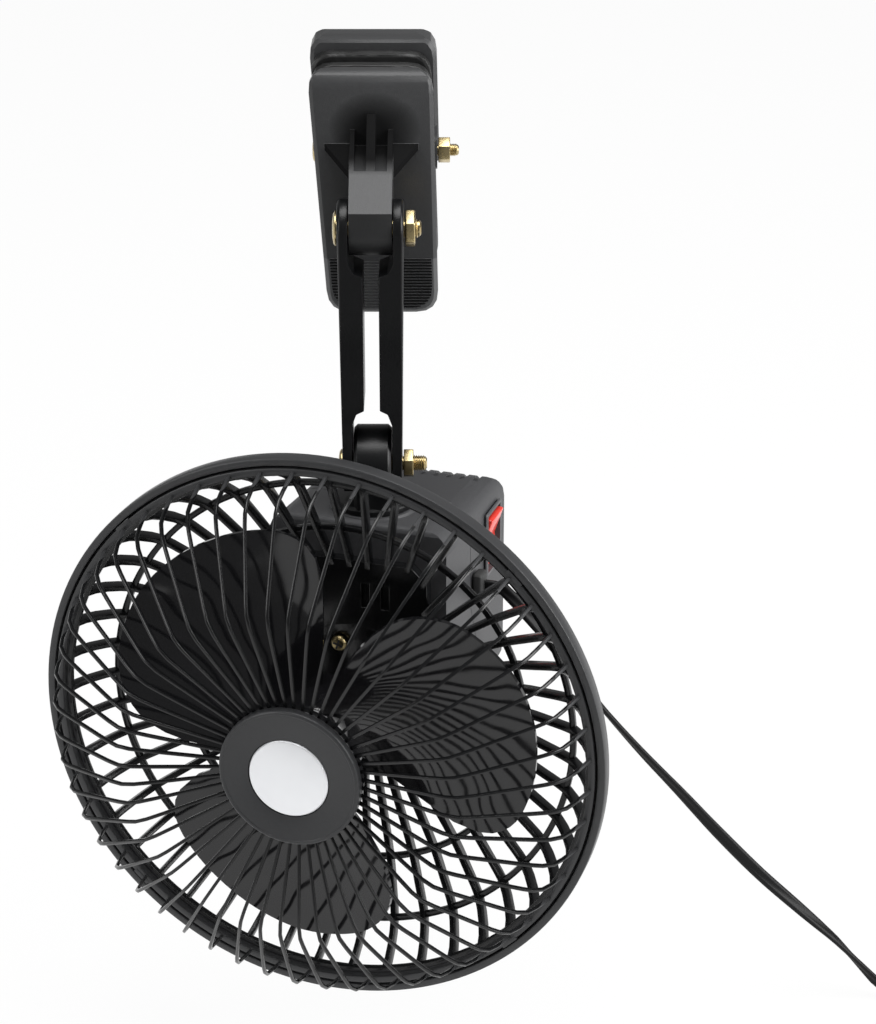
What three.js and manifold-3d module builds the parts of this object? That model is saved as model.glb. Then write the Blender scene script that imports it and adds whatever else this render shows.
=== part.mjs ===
// A small clip-on car fan: a spring clip, a pair of arm plates, a swivelling neck and a motor head
// with a caged three-blade fan. Millimetres, +Z up, -Y towards the front of the clip.
// The origin is the middle of the clip's closed grip.
import * as THREE from 'three';
import { mergeVertices } from 'three/addons/utils/BufferGeometryUtils.js';
import Module from 'manifold-3d';

const wasm = await Module();
wasm.setup();

// Driving dimensions, shared by several pieces
const seat = 0.3; // gap between pieces that touch
const overrun = 2; // how far a cutting tool runs past the piece it cuts
const boltUpperRadius = 3;
const boltLowerRadius = 2.5;
const boltPivotRadius = 2;
const screwRadius = 1.5;
const shaftRadius = 1.5;
const round = 16; // facets round a small turned piece

// Clip
const jawTop = 7.9;
const jawFoot = -68.4;
const jawLeftTop = -19.2;
const jawLeftFoot = -13.9;
const jawRightTop = 18.5;
const jawRightFoot = 20.3;
const jawCorner = 7;
const jawFaceY = -13;
const jawPlate = 6;
const jawSkin = 2.4;
const jawBrow = 6.5; // radius that rounds the face into the top
const rearJawTop = 13.6;
const rearJawLip = 11.6;
const rearJawBrow = 5;
const rearJawDepth = 14;
const rearJawWider = 0.6; // how far the rear jaw's head reaches past the front jaw on each side
const rearJawShift = 0.6;
const frontPadTop = 8.2;
const rearPadTop = 10.2;
const rearSplay = THREE.MathUtils.degToRad(24);
const padFoot = -13;
const padInset = 0.5;
const pivotZ = -20;
const earRadius = 5.6;
const earThickness = 2.4;
const rearEarLeft = -16.9;
const rearEarRight = 17.5;
const gripPitch = 0.95;
const gripCount = 17;
const gripHeight = 0.4;
const gripMargin = 1.8;
const jawEdgeRound = 1.2;
const padEdgeRound = 0.6;
const pivotHeadRadius = 3.8;
const pivotHeadTall = 1.2;
const pivotTail = 3;
const pivotFlats = 7; // across the nut's flats

// Arm
const armY = -31;
const armTopZ = -35.4;
const armLength = 75.8;
const armHalfDepth = 8.8;
const armHalfTop = 10;
const armHalfFoot = 8.95;
const armSlotHalf = 2.4;
const lugHalf = 6.45;
const lugReach = 8;
const upperForkEnd = 12.6;
const upperForkWall = 8.4;
const neckHalf = 5.75;
const neckRadius = 12.2;
const lowerForkEnd = 20.5;
const lowerForkWall = 15.8;
const armEdgeRound = 0.8;
const armHeadTall = 1.1;
const upperHeadRadius = 5.3;
const upperTail = 4.8;
const upperFlats = 10;
const lowerHeadRadius = 4.4;
const lowerTail = 7.2;
const lowerFlats = 8;
const footPlay = 0.25;

// Head
const headYaw = THREE.MathUtils.degToRad(-18.2);
const headTurnX = -Math.tan(headYaw);
const neckBack = 52.7; // neck axis behind the rim plane
const axisDrop = 68.8; // fan axis below the lower arm bolt
const rimRadius = 90;
const rimFront = 0.2;
const rimBack = 5.4;
const hubRadius = 22.1;
const hubAside = 1.5; // the guard's middle lies a little to the right of the rim's and above it
const hubAbove = 0.5;
const spokeCount = 52;
const spokeThickness = 1.2;
const spokePhase = THREE.MathUtils.degToRad(4.1);
const ribCount = 45;
const ribWidth = 1.9;
const ribDepth = 3.2;
const ribPhase = THREE.MathUtils.degToRad(3.5);
const bladeCount = 3;
const bladeRadius = 69.7;
const bladeThickness = 1.5;
const houseHalf = 29;
const houseWall = 2.4;
const houseFront = 37;
const houseBack = 98;
const houseRoofFront = 55.5;
const houseRoofBack = 51.3;
const houseFloor = -18;
const houseCorner = 8;
const motorRadius = 14.5;
const motorBack = 72;

// Cord
const cordHalfWidth = 2.8;
const cordHalfThickness = 1.4;
const groundZ = -303;
const coilRadius = 38;
const coilCentre = new THREE.Vector3(226, -22, 0);

const looks = {
  shell: { color: 0x1d1e20, roughness: 0.55, metalness: 0 },
  housing: { color: 0x242527, roughness: 0.6, metalness: 0 },
  gloss: { color: 0x111214, roughness: 0.18, metalness: 0 },
  rubber: { color: 0x151515, roughness: 0.85, metalness: 0 },
  brass: { color: 0xb59a5a, roughness: 0.35, metalness: 1 },
  steel: { color: 0xa8a8ab, roughness: 0.35, metalness: 1 },
  silver: { color: 0xd8d9dc, roughness: 0.3, metalness: 0.6 },
  red: { color: 0xd8281c, roughness: 0.35, metalness: 0 },
  cord: { color: 0x131313, roughness: 0.5, metalness: 0 },
};

// A closed geometry as a solid, its faces turned outwards.
function solid(geometry) {
  const plain = geometry.clone();
  plain.deleteAttribute('normal');
  plain.deleteAttribute('uv');
  const merged = mergeVertices(plain, 1e-4);
  const triVerts = new Uint32Array(merged.index.array);
  const vertProperties = merged.attributes.position.array;
  const made = new wasm.Manifold(new wasm.Mesh({ numProp: 3, vertProperties, triVerts }));
  if (made.volume() > 0) return made;
  for (let i = 0; i < triVerts.length; i += 3) {
    [triVerts[i + 1], triVerts[i + 2]] = [triVerts[i + 2], triVerts[i + 1]];
  }
  return new wasm.Manifold(new wasm.Mesh({ numProp: 3, vertProperties, triVerts }));
}

function join(first, ...rest) {
  return rest.reduce((sum, next) => sum.add(next), first);
}

function cut(first, ...rest) {
  return rest.reduce((left, next) => left.subtract(next), first);
}

// Adds one named piece to a group.
function add(group, name, body, look) {
  const mesh = body.getMesh();
  const geometry = new THREE.BufferGeometry();
  const stride = mesh.numProp;
  const position = new Float32Array((mesh.vertProperties.length / stride) * 3);
  for (let i = 0; i < position.length / 3; i += 1) {
    position.set(mesh.vertProperties.subarray(i * stride, i * stride + 3), i * 3);
  }
  geometry.setAttribute('position', new THREE.BufferAttribute(position, 3));
  geometry.setIndex(new THREE.BufferAttribute(new Uint32Array(mesh.triVerts), 1));
  geometry.computeVertexNormals();
  const piece = new THREE.Mesh(geometry, new THREE.MeshStandardMaterial(looks[look]));
  piece.name = name;
  group.add(piece);
  return piece;
}

const axisX = new THREE.Vector3(1, 0, 0);
const axisY = new THREE.Vector3(0, 1, 0);
const axisZ = new THREE.Vector3(0, 0, 1);

function pushed(shape, length, bevel, arcs) {
  return new THREE.ExtrudeGeometry(shape, {
    depth: length - 2 * bevel,
    bevelEnabled: bevel > 0,
    bevelThickness: bevel,
    bevelSize: bevel,
    bevelOffset: -bevel,
    bevelSegments: 1,
    curveSegments: arcs,
  }).translate(0, 0, bevel);
}

// A profile drawn in (y, z), pushed along X from one place to another.
function alongX(shape, from, to, bevel = 0, arcs = 4) {
  const geometry = pushed(shape, to - from, bevel, arcs);
  geometry.applyMatrix4(new THREE.Matrix4().makeBasis(axisY, axisZ, axisX));
  return solid(geometry.translate(from, 0, 0));
}

// A profile drawn in (x, z), pushed along Y.
function alongY(shape, from, to, bevel = 0, arcs = 4) {
  const geometry = pushed(shape, to - from, bevel, arcs);
  geometry.applyMatrix4(new THREE.Matrix4().makeBasis(axisX, axisZ, axisY.clone().negate()));
  return solid(geometry.translate(0, to, 0));
}

// A profile drawn in (x, y), pushed along Z.
function alongZ(shape, from, to, bevel = 0, arcs = 4) {
  return solid(pushed(shape, to - from, bevel, arcs).translate(0, 0, from));
}

function outline(points) {
  return new THREE.Shape(points.map(([a, b]) => new THREE.Vector2(a, b)));
}

// A polygon whose corners are rounded, each to the radius given with it.
function rounded(corners) {
  const shape = new THREE.Shape();
  corners.forEach(([a, b, radius], i) => {
    const here = new THREE.Vector2(a, b);
    const [pa, pb] = corners[(i + corners.length - 1) % corners.length];
    const [na, nb] = corners[(i + 1) % corners.length];
    const back = new THREE.Vector2(pa, pb).sub(here).setLength(radius).add(here);
    const ahead = new THREE.Vector2(na, nb).sub(here).setLength(radius).add(here);
    if (i === 0) shape.moveTo(back.x, back.y);
    else shape.lineTo(back.x, back.y);
    shape.quadraticCurveTo(a, b, ahead.x, ahead.y);
  });
  shape.closePath();
  return shape;
}

function box(a0, a1, b0, b1, radius) {
  return rounded([[a0, b0, radius], [a1, b0, radius], [a1, b1, radius], [a0, b1, radius]]);
}

function plainBox(a0, a1, b0, b1) {
  return outline([[a0, b0], [a1, b0], [a1, b1], [a0, b1]]);
}

function centredBox({ b, u }, wide, tall, radius = 0) {
  const edges = [b - wide / 2, b + wide / 2, u - tall / 2, u + tall / 2];
  return radius > 0 ? box(...edges, radius) : plainBox(...edges);
}

function disc(radius, a = 0, b = 0) {
  const shape = new THREE.Shape();
  shape.absarc(a, b, radius, 0, Math.PI * 2);
  return shape;
}

function hexagon(flats, a, b) {
  const corner = flats / Math.sqrt(3);
  const points = [];
  for (let i = 0; i < 6; i += 1) {
    const turn = (i + 0.5) * (Math.PI / 3);
    points.push([a + corner * Math.cos(turn), b + corner * Math.sin(turn)]);
  }
  return outline(points);
}

// A closed profile of (radius, place) turned about the Y axis.
function turned(profile, facets = round) {
  const points = profile.map(([r, y]) => new THREE.Vector2(r, y));
  const last = profile[profile.length - 1];
  if (profile[0][0] > 0 || last[0] > 0) points.push(points[0].clone());
  return solid(new THREE.LatheGeometry(points, facets));
}

// The same, about an axis along X or Z.
function turnedX(profile, facets = round) {
  return turned(profile, facets).rotate([0, 0, -90]);
}

function turnedZ(profile, facets = round) {
  return turned(profile, facets).rotate([90, 0, 0]);
}

// Clip: two long jaws on a pivot bolt, rubber pads in the mouth and a torsion spring between the handles
const clip = new THREE.Group();
const rearJaw = new THREE.Group();

// The x of a jaw's left (-1) or right (1) edge at a height
function jawEdge(side, z) {
  const share = (z - jawTop) / (jawFoot - jawTop);
  return side < 0
    ? THREE.MathUtils.lerp(jawLeftTop, jawLeftFoot, share)
    : THREE.MathUtils.lerp(jawRightTop, jawRightFoot, share);
}

function jawOutline(top, foot, inset = 0) {
  return rounded([
    [jawEdge(-1, top) + inset, top - inset, jawCorner],
    [jawEdge(-1, foot) + inset, foot + inset, jawCorner],
    [jawEdge(1, foot) - inset, foot + inset, jawCorner],
    [jawEdge(1, top) - inset, top - inset, jawCorner],
  ]);
}

function gripRibs(faceY, outward) {
  const start = jawFoot + gripMargin;
  const points = [[faceY - outward * jawSkin, start]];
  for (let i = 0; i < gripCount; i += 1) {
    const z = start + i * gripPitch;
    points.push([faceY, z]);
    points.push([faceY + outward * gripHeight, z + gripPitch / 4]);
    points.push([faceY + outward * gripHeight, z + gripPitch / 2]);
    points.push([faceY, z + (gripPitch * 3) / 4]);
  }
  points.push([faceY - outward * jawSkin, start + gripCount * gripPitch]);
  const within = alongY(jawOutline(jawTop, jawFoot, gripMargin), faceY - overrun * 2, faceY + overrun * 2);
  return alongX(outline(points), jawLeftTop, jawRightFoot).intersect(within);
}

function ear(x, width) {
  const reach = jawFaceY + jawPlate / 2;
  const cheek = rounded([
    [reach, pivotZ + earRadius, 1],
    [reach, pivotZ - earRadius, 1],
    [earRadius, pivotZ - earRadius, earRadius],
    [earRadius, pivotZ + earRadius, earRadius],
  ]);
  return alongX(cheek, x, x + width);
}

const frontEarLeft = rearEarLeft + earThickness + seat;
const frontEarRight = rearEarRight - seat - earThickness;
const pivotHole = alongX(disc(boltPivotRadius + seat, 0, pivotZ), jawLeftTop - overrun,
  jawRightFoot + overrun, 0, 8);

function frontJaw() {
  const inner = jawFaceY + jawPlate;
  const faceProfile = new THREE.Shape();
  faceProfile.moveTo(inner, jawFoot);
  faceProfile.lineTo(jawFaceY, jawFoot);
  faceProfile.lineTo(jawFaceY, jawTop - jawBrow);
  faceProfile.quadraticCurveTo(jawFaceY, jawTop, inner, jawTop);
  const plate = alongY(jawOutline(jawTop, jawFoot), jawFaceY, inner, jawEdgeRound)
    .intersect(alongX(faceProfile, jawLeftTop, jawRightFoot));
  const pocket = alongY(jawOutline(pivotZ - earRadius - jawSkin, jawFoot, jawSkin),
    jawFaceY + jawSkin, inner + overrun);

  // The lug that the arm plates grip
  const lugTopRoot = jawTop - 17.9;
  const creaseZ = armTopZ + 6.8;
  const lugSide = new THREE.Shape();
  lugSide.moveTo(jawFaceY + jawSkin, lugTopRoot);
  lugSide.lineTo(jawFaceY, lugTopRoot);
  lugSide.lineTo(armY - lugReach, creaseZ);
  lugSide.lineTo(armY - lugReach, armTopZ);
  lugSide.absarc(armY, armTopZ, lugReach, Math.PI, Math.PI * 1.5, false);
  lugSide.lineTo(jawFaceY + jawSkin, armTopZ - lugReach / 2);
  const lug = alongX(lugSide, -lugHalf, lugHalf, 0, 8);
  const slope = (lugTopRoot - creaseZ) / (lugReach - armY + jawFaceY);
  const recessRun = 13;
  const recessDeep = 5;
  const flange = 1.5;
  const recess = alongX(outline([
    [jawFaceY - recessRun, lugTopRoot - recessRun * slope],
    [jawFaceY, lugTopRoot + overrun],
    [jawFaceY, lugTopRoot - recessDeep],
  ]), -lugHalf + flange, lugHalf - flange);
  const ribHalf = 1.35;
  const rib = alongX(outline([
    [jawFaceY + jawSkin, lugTopRoot + 5],
    [jawFaceY - 1.2, lugTopRoot + 5],
    [jawFaceY - recessRun, lugTopRoot - recessRun * slope],
    [jawFaceY - recessRun, lugTopRoot - recessRun],
    [jawFaceY + jawSkin, lugTopRoot - recessDeep],
  ]), -ribHalf, ribHalf);
  const gussetHalf = 14.3;
  const gussetRun = 9.4;
  const gussetThick = 2;
  const gusset = alongZ(outline([
    [-gussetHalf, jawFaceY + jawSkin],
    [-gussetHalf, jawFaceY],
    [-lugHalf, jawFaceY - gussetRun],
    [lugHalf, jawFaceY - gussetRun],
    [gussetHalf, jawFaceY],
    [gussetHalf, jawFaceY + jawSkin],
  ]), -gussetThick, 0);
  const gussetZ = lugTopRoot - 4.3;
  const sheared = gusset.translate([0, -jawFaceY, 0])
    .transform([1, 0, 0, 0, 0, 1, slope, 0, 0, 0, 1, 0, 0, 0, 0, 1])
    .translate([0, jawFaceY, gussetZ]);
  const wings = sheared.subtract(alongX(plainBox(armY, jawFaceY, gussetZ - 20, gussetZ + 20),
    -lugHalf + flange, lugHalf - flange));
  const lugHole = alongX(disc(boltUpperRadius + seat, armY, armTopZ), jawLeftTop, jawRightTop, 0, 8);
  const body = join(
    cut(plate, pocket),
    cut(join(lug, wings), recess),
    rib,
    gripRibs(jawFaceY, -1),
    ear(frontEarLeft, earThickness),
    ear(frontEarRight, earThickness),
  );
  return cut(body, pivotHole, lugHole);
}

const rearJawBend = pivotZ - earRadius;

function rearJawSolid() {
  const inner = -jawFaceY - jawPlate;
  const outer = inner + rearJawDepth;
  const bend = rearJawBend;
  const profile = new THREE.Shape();
  profile.moveTo(inner, bend);
  profile.lineTo(outer - jawBrow / 2, bend);
  profile.lineTo(outer, bend + jawBrow);
  profile.lineTo(outer, rearJawTop - rearJawBrow);
  profile.quadraticCurveTo(outer, rearJawTop, outer - rearJawBrow, rearJawTop);
  profile.quadraticCurveTo(inner, rearJawTop, inner, rearJawLip);
  const headOutline = jawOutline(rearJawTop - rearJawWider, bend - jawCorner, -rearJawWider);
  const head = alongY(headOutline, inner, outer, jawEdgeRound)
    .translate([rearJawShift, 0, 0])
    .intersect(alongX(profile, jawLeftTop - overrun, jawRightFoot + overrun));
  const throat = alongY(jawOutline(padFoot - jawSkin, bend - jawCorner * 2, jawSkin), inner - overrun,
    outer - jawSkin * 2);
  const blank = alongY(jawOutline(pivotZ, jawFoot), inner, inner + jawPlate, jawEdgeRound);
  const pocket = alongY(jawOutline(bend - jawSkin, jawFoot, jawSkin), inner - overrun,
    inner + jawPlate - jawSkin);
  const handle = join(cut(blank, pocket), gripRibs(inner + jawPlate, 1))
    .translate([0, -inner, -bend])
    .rotate([THREE.MathUtils.radToDeg(rearSplay), 0, 0])
    .translate([0, inner, bend]);
  const cheek = (x) => ear(x, earThickness).scale([1, -1, 1]);
  const mouth = cut(head, throat);
  const body = join(mouth, handle, cheek(rearEarLeft), cheek(rearEarRight));
  const springRoom = alongX(disc(earRadius + seat, 0, pivotZ), rearEarLeft + earThickness, rearEarRight,
    0, 10);
  return cut(body, pivotHole, springRoom);
}

function pad(side) {
  const inner = -jawFaceY - jawPlate;
  const top = side < 0 ? frontPadTop : rearPadTop;
  const shape = jawOutline(top, padFoot - jawCorner, padInset);
  const block = side < 0
    ? alongY(shape, -inner + seat, -seat / 2, padEdgeRound)
    : alongY(shape, seat / 2, inner - seat, padEdgeRound);
  return cut(block, alongY(plainBox(jawLeftTop, jawRightFoot, jawFoot, padFoot), -inner, inner));
}

// A torsion spring: a coil round the pivot bolt with a leg into each handle's pocket
function clipSpring() {
  const wire = 0.8;
  const mean = 4.2;
  const turns = 4.5;
  const half = 4.4;
  const kneeZ = pivotZ - 7;
  const legZ = pivotZ - 25;
  const stepsPerCoil = 8;
  const steps = turns * stepsPerCoil;
  const clear = wire + seat;
  const pocket = jawPlate - jawSkin;
  const lean = (rearJawBend - legZ) * Math.tan(rearSplay) + pocket / Math.cos(rearSplay);
  const points = [
    new THREE.Vector3(-half, jawFaceY + jawSkin + clear, legZ),
    new THREE.Vector3(-half, -mean - wire / 2, kneeZ),
  ];
  for (let i = 0; i <= steps; i += 1) {
    const turn = Math.PI + (i / stepsPerCoil) * Math.PI * 2;
    points.push(new THREE.Vector3(
      -half + (2 * half * i) / steps,
      mean * Math.cos(turn),
      pivotZ - mean * Math.sin(turn),
    ));
  }
  points.push(new THREE.Vector3(half, mean + wire / 2, kneeZ));
  points.push(new THREE.Vector3(half, lean - jawFaceY - jawPlate - clear / Math.cos(rearSplay), legZ));
  return sweep(points, wire, wire, 5, axisX);
}

// A tube of flat or round section along points; its width lies across the path and square to 'up',
// which is one direction or a list with one for each point.
function sweep(points, halfWidth, halfThickness, sides, up) {
  const vertices = [];
  const faces = [];
  points.forEach((point, i) => {
    const before = points[Math.max(i - 1, 0)];
    const after = points[Math.min(i + 1, points.length - 1)];
    const tangent = after.clone().sub(before).normalize();
    const here = Array.isArray(up) ? up[i] : up;
    const across = new THREE.Vector3().crossVectors(tangent, here).normalize();
    const over = new THREE.Vector3().crossVectors(across, tangent);
    for (let k = 0; k < sides; k += 1) {
      const turn = ((k + 0.5) / sides) * Math.PI * 2;
      const place = point.clone()
        .addScaledVector(across, halfWidth * Math.cos(turn))
        .addScaledVector(over, halfThickness * Math.sin(turn));
      vertices.push(place.x, place.y, place.z);
    }
  });
  for (let i = 0; i + 1 < points.length; i += 1) {
    for (let k = 0; k < sides; k += 1) {
      const a = i * sides + k;
      const b = i * sides + ((k + 1) % sides);
      faces.push(a, b, b + sides, a, b + sides, a + sides);
    }
  }
  const end = (points.length - 1) * sides;
  for (let k = 1; k + 1 < sides; k += 1) {
    faces.push(0, k + 1, k, end, end + k, end + k + 1);
  }
  const geometry = new THREE.BufferGeometry();
  geometry.setAttribute('position', new THREE.Float32BufferAttribute(vertices, 3));
  geometry.setIndex(faces);
  return solid(geometry);
}

// A hexagon nut on a bolt along X
function nut(flats, hole, y, z, from, to) {
  return alongX(hexagon(flats, y, z), from, to).subtract(
    alongX(disc(hole + seat, y, z), from - overrun, to + overrun, 0, 8),
  );
}

// A bolt along X with a low round head on its left
function bolt(radius, headRadius, head, y, z, from, to) {
  return turnedX([
    [0, from - head],
    [headRadius * 0.8, from - head],
    [headRadius, from - head / 2],
    [headRadius, from],
    [radius, from],
    [radius, to - radius / 4],
    [radius * 0.75, to],
    [0, to],
  ]).translate([0, y, z]);
}

add(clip, 'clip_front_jaw', frontJaw(), 'shell');
add(clip, 'clip_front_pad', pad(-1), 'rubber');
const pivotReach = rearEarRight + earThickness;
const pivotNut = 3.6;
add(clip, 'clip_pivot_bolt',
  bolt(boltPivotRadius, pivotHeadRadius, pivotHeadTall, 0, pivotZ, rearEarLeft - seat,
    pivotReach + pivotNut + pivotTail), 'brass');
add(clip, 'clip_pivot_nut',
  nut(pivotFlats, boltPivotRadius, 0, pivotZ, pivotReach + seat, pivotReach + seat + pivotNut), 'brass');
add(clip, 'clip_spring', clipSpring(), 'steel');
add(rearJaw, 'clip_rear_jaw', rearJawSolid(), 'shell');
add(rearJaw, 'clip_rear_pad', pad(1), 'rubber');

// Arm: two mirrored plates bolted to the clip's lug above and the neck's lug below
const arm = new THREE.Group();
const armFootZ = armTopZ - armLength;

// The room between the fork's prongs, cut straight through from front to back
function forkRoom(half, wall, end, z) {
  const step = (end - wall) * 0.75;
  const shoulder = half - (half - armSlotHalf) * 0.35;
  const reach = armHalfDepth + overrun;
  return alongY(outline([
    [half, -wall],
    [half, wall],
    [shoulder, wall + step],
    [armSlotHalf, end],
    [-armSlotHalf, end],
    [-armSlotHalf, -end],
    [armSlotHalf, -end],
    [shoulder, -wall - step],
  ]), -reach, reach).translate([0, armY, z]);
}

function armPlate(side) {
  const top = armTopZ + armHalfDepth;
  const foot = armFootZ - armHalfDepth;
  const front = alongY(outline([
    [armSlotHalf, top + overrun],
    [armSlotHalf, foot - overrun],
    [armHalfFoot, foot - overrun],
    [armHalfTop, top + overrun],
  ]), armY - armHalfDepth - overrun, armY + armHalfDepth + overrun);
  const bar = new THREE.Shape();
  bar.absarc(armY, armTopZ, armHalfDepth, 0, Math.PI, false);
  bar.absarc(armY, armFootZ, armHalfDepth, Math.PI, Math.PI * 2, false);
  const blank = front.intersect(alongX(bar, 0, armHalfTop, armEdgeRound, 10));
  const plate = cut(
    blank,
    forkRoom(lugHalf + seat, upperForkWall, upperForkEnd, armTopZ),
    forkRoom(neckHalf + seat, lowerForkWall, lowerForkEnd, armFootZ),
    alongX(disc(boltUpperRadius + seat, armY, armTopZ), -overrun, armHalfTop + overrun, 0, 8),
    alongX(disc(boltLowerRadius + seat, armY, armFootZ), -overrun, armHalfTop + overrun, 0, 8),
  );
  return side > 0 ? plate : plate.scale([-1, 1, 1]);
}

const upperNut = 3;
const lowerNut = 3;
const lowerSeatX = armHalfFoot + footPlay;
add(arm, 'arm_left_plate', armPlate(-1), 'shell');
add(arm, 'arm_right_plate', armPlate(1), 'shell');
add(arm, 'arm_upper_bolt',
  bolt(boltUpperRadius, upperHeadRadius, armHeadTall, armY, armTopZ, -armHalfTop - seat,
    armHalfTop + seat + upperTail), 'brass');
add(arm, 'arm_upper_nut',
  nut(upperFlats, boltUpperRadius, armY, armTopZ, armHalfTop + seat, armHalfTop + seat + upperNut), 'brass');
add(arm, 'arm_lower_bolt',
  bolt(boltLowerRadius, lowerHeadRadius, armHeadTall, armY, armFootZ, -lowerSeatX - seat,
    lowerSeatX + seat + lowerTail), 'brass');
add(arm, 'arm_lower_nut',
  nut(lowerFlats, boltLowerRadius, armY, armFootZ, lowerSeatX + seat, lowerSeatX + seat + lowerNut), 'brass');

// Neck: the lug between the arm's lower fork, standing on a round flange with its swivel post below
const neck = new THREE.Group();
neck.position.set(0, armY, armFootZ - axisDrop);
const neckFlangeRadius = 13;
const neckFlangeTop = 58.4;
const turretTop = 55.8;
const postRadius = 4;
const neckEdge = 1;
const flangeEdge = 0.8;
const postBoreDeep = 7;
const leverScrewDeep = 6;
const leverScrewHead = 1.6;
const washerThickness = 1.6;
const washerPlay = 0.4;
const leverBorder = 1;
const leverTip = 3;
const postFoot = 38;
const leverReach = 10;
const leverThickness = 2.3;

function roofAt(b) {
  const share = (b - houseFront) / (houseBack - houseFront);
  return THREE.MathUtils.lerp(houseRoofFront, houseRoofBack, share);
}

function neckLug() {
  const side = new THREE.Shape();
  side.moveTo(-neckRadius, neckFlangeTop - seat);
  side.lineTo(neckRadius, neckFlangeTop - seat);
  side.absarc(0, axisDrop, neckRadius, 0, Math.PI, false);
  const lug = alongX(side, -neckHalf, neckHalf, neckEdge, 10);
  const flange = turnedZ([
    [0, turretTop + seat],
    [neckFlangeRadius, turretTop + seat],
    [neckFlangeRadius, neckFlangeTop - flangeEdge],
    [neckFlangeRadius - flangeEdge, neckFlangeTop],
    [0, neckFlangeTop],
  ], 24);
  const post = turnedZ([
    [0, postFoot],
    [postRadius, postFoot],
    [postRadius, turretTop + overrun],
    [0, turretTop + overrun],
  ]);
  const pilot = turnedZ([
    [0, postFoot - overrun],
    [screwRadius + seat, postFoot - overrun],
    [screwRadius + seat, postFoot + postBoreDeep],
    [0, postFoot + postBoreDeep],
  ]);
  const hole = alongX(disc(boltLowerRadius + seat, 0, axisDrop), -neckHalf * 2, neckHalf * 2, 0, 8);
  return cut(join(lug, flange, post), pilot, hole);
}

function swivelWasher() {
  const top = roofAt(neckBack + postRadius * 2) - houseWall - seat - washerPlay;
  return turnedZ([
    [postRadius + seat, top - washerThickness],
    [postRadius * 2, top - washerThickness],
    [postRadius * 2, top],
    [postRadius + seat, top],
  ]);
}

function swingLever() {
  const top = postFoot - seat;
  const shape = new THREE.Shape();
  shape.absarc(0, 0, postRadius + leverBorder, Math.PI, Math.PI * 2, false);
  shape.absarc(0, leverReach, leverTip, 0, Math.PI, false);
  const plate = alongZ(shape, top - leverThickness, top, 0, 8);
  return plate.subtract(alongZ(disc(screwRadius + seat), top - leverThickness - overrun, top + overrun));
}

function leverScrew() {
  const top = postFoot - seat - leverThickness - seat;
  return turnedZ([
    [0, top - leverScrewHead],
    [screwRadius * 1.9, top - leverScrewHead],
    [screwRadius * 1.9, top],
    [screwRadius, top],
    [screwRadius, postFoot + leverScrewDeep],
    [0, postFoot + leverScrewDeep],
  ], 12);
}

add(neck, 'neck_lug', neckLug(), 'shell');
add(neck, 'swivel_washer', swivelWasher(), 'steel');
add(neck, 'swing_lever', swingLever(), 'steel');
add(neck, 'lever_screw', leverScrew(), 'steel');

// Head: everything that swings on the neck, laid out from the fan axis with Y running back from the rim
const head = new THREE.Group();
head.position.set(0, armY, armFootZ - axisDrop);
head.rotation.z = headYaw;
const fan = new THREE.Group();
fan.position.set(0, -neckBack, 0);
head.add(fan);

// A flat bar that follows points of (radius, place), turned to its angle round the fan axis
function bar(path, thickness, width, angle) {
  const left = [];
  const right = [];
  path.forEach(([r, b], i) => {
    const [r0, b0] = path[Math.max(i - 1, 0)];
    const [r1, b1] = path[Math.min(i + 1, path.length - 1)];
    const here = new THREE.Vector2(r, b);
    const run = new THREE.Vector2(r1 - r0, b1 - b0).normalize();
    const side = new THREE.Vector2(-run.y, run.x).multiplyScalar(thickness / 2);
    left.push(here.clone().add(side));
    right.unshift(here.clone().sub(side));
  });
  const geometry = new THREE.ExtrudeGeometry(new THREE.Shape([...left, ...right]), {
    depth: width,
    bevelEnabled: false,
  });
  return solid(geometry.translate(0, 0, -width / 2).rotateY(-angle));
}

function cage(count, phase, make) {
  const bars = [];
  for (let i = 0; i < count; i += 1) {
    bars.push(make(phase + (i / count) * Math.PI * 2));
  }
  return bars.reduce((sum, next) => sum.add(next));
}

// A turned piece whose facets are centred on the bars that meet it
function turnedBetween(profile, count, phase) {
  const shift = phase + Math.PI / count - Math.PI / 2;
  return turned(profile, count).rotate([0, -THREE.MathUtils.radToDeg(shift), 0]);
}

const rimWall = 2.4;
const rimGap = 0.9; // between the front guard's rim and the channel's wall
const frontRimWide = 2;
const frontRimStep = 0.3;
const channelOuter = rimRadius - rimWall;
const frontRimOuter = channelOuter - rimGap;
const frontRimInner = frontRimOuter - frontRimWide;
const rimFloor = 3.2;
const hubPlateFront = -25.4;
const hubPlateThickness = 2.8;
const hubPlateBack = hubPlateFront + hubPlateThickness;
const hubPlateInset = 0.4;
const spokeRoot = 1.8;
const spokeRootFront = -24.4;
const spokeCrest = { r: 49.5, b: -29.9 };
const spokeCrestEnd = { r: 53.5, b: -29.6 };
const spokeShoulder = 4.7; // inside the front rim
const spokeShoulderFront = -14.9;
const spokeKneeFront = -10;
const spokeTipBack = 1.4;
const latchAngle = THREE.MathUtils.degToRad(45);
const latchWidth = 6;
const latchSink = 1;

// Moves a point of the front guard towards the off-centre hub, the more the nearer it is to the hub.
function asideAtHub(point) {
  const radius = Math.hypot(point[0], point[2]);
  const share = THREE.MathUtils.clamp((frontRimInner - overrun - radius) / (frontRimInner - hubRadius), 0, 1);
  point[0] += hubAside * share;
  point[2] += hubAbove * share;
}

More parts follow.
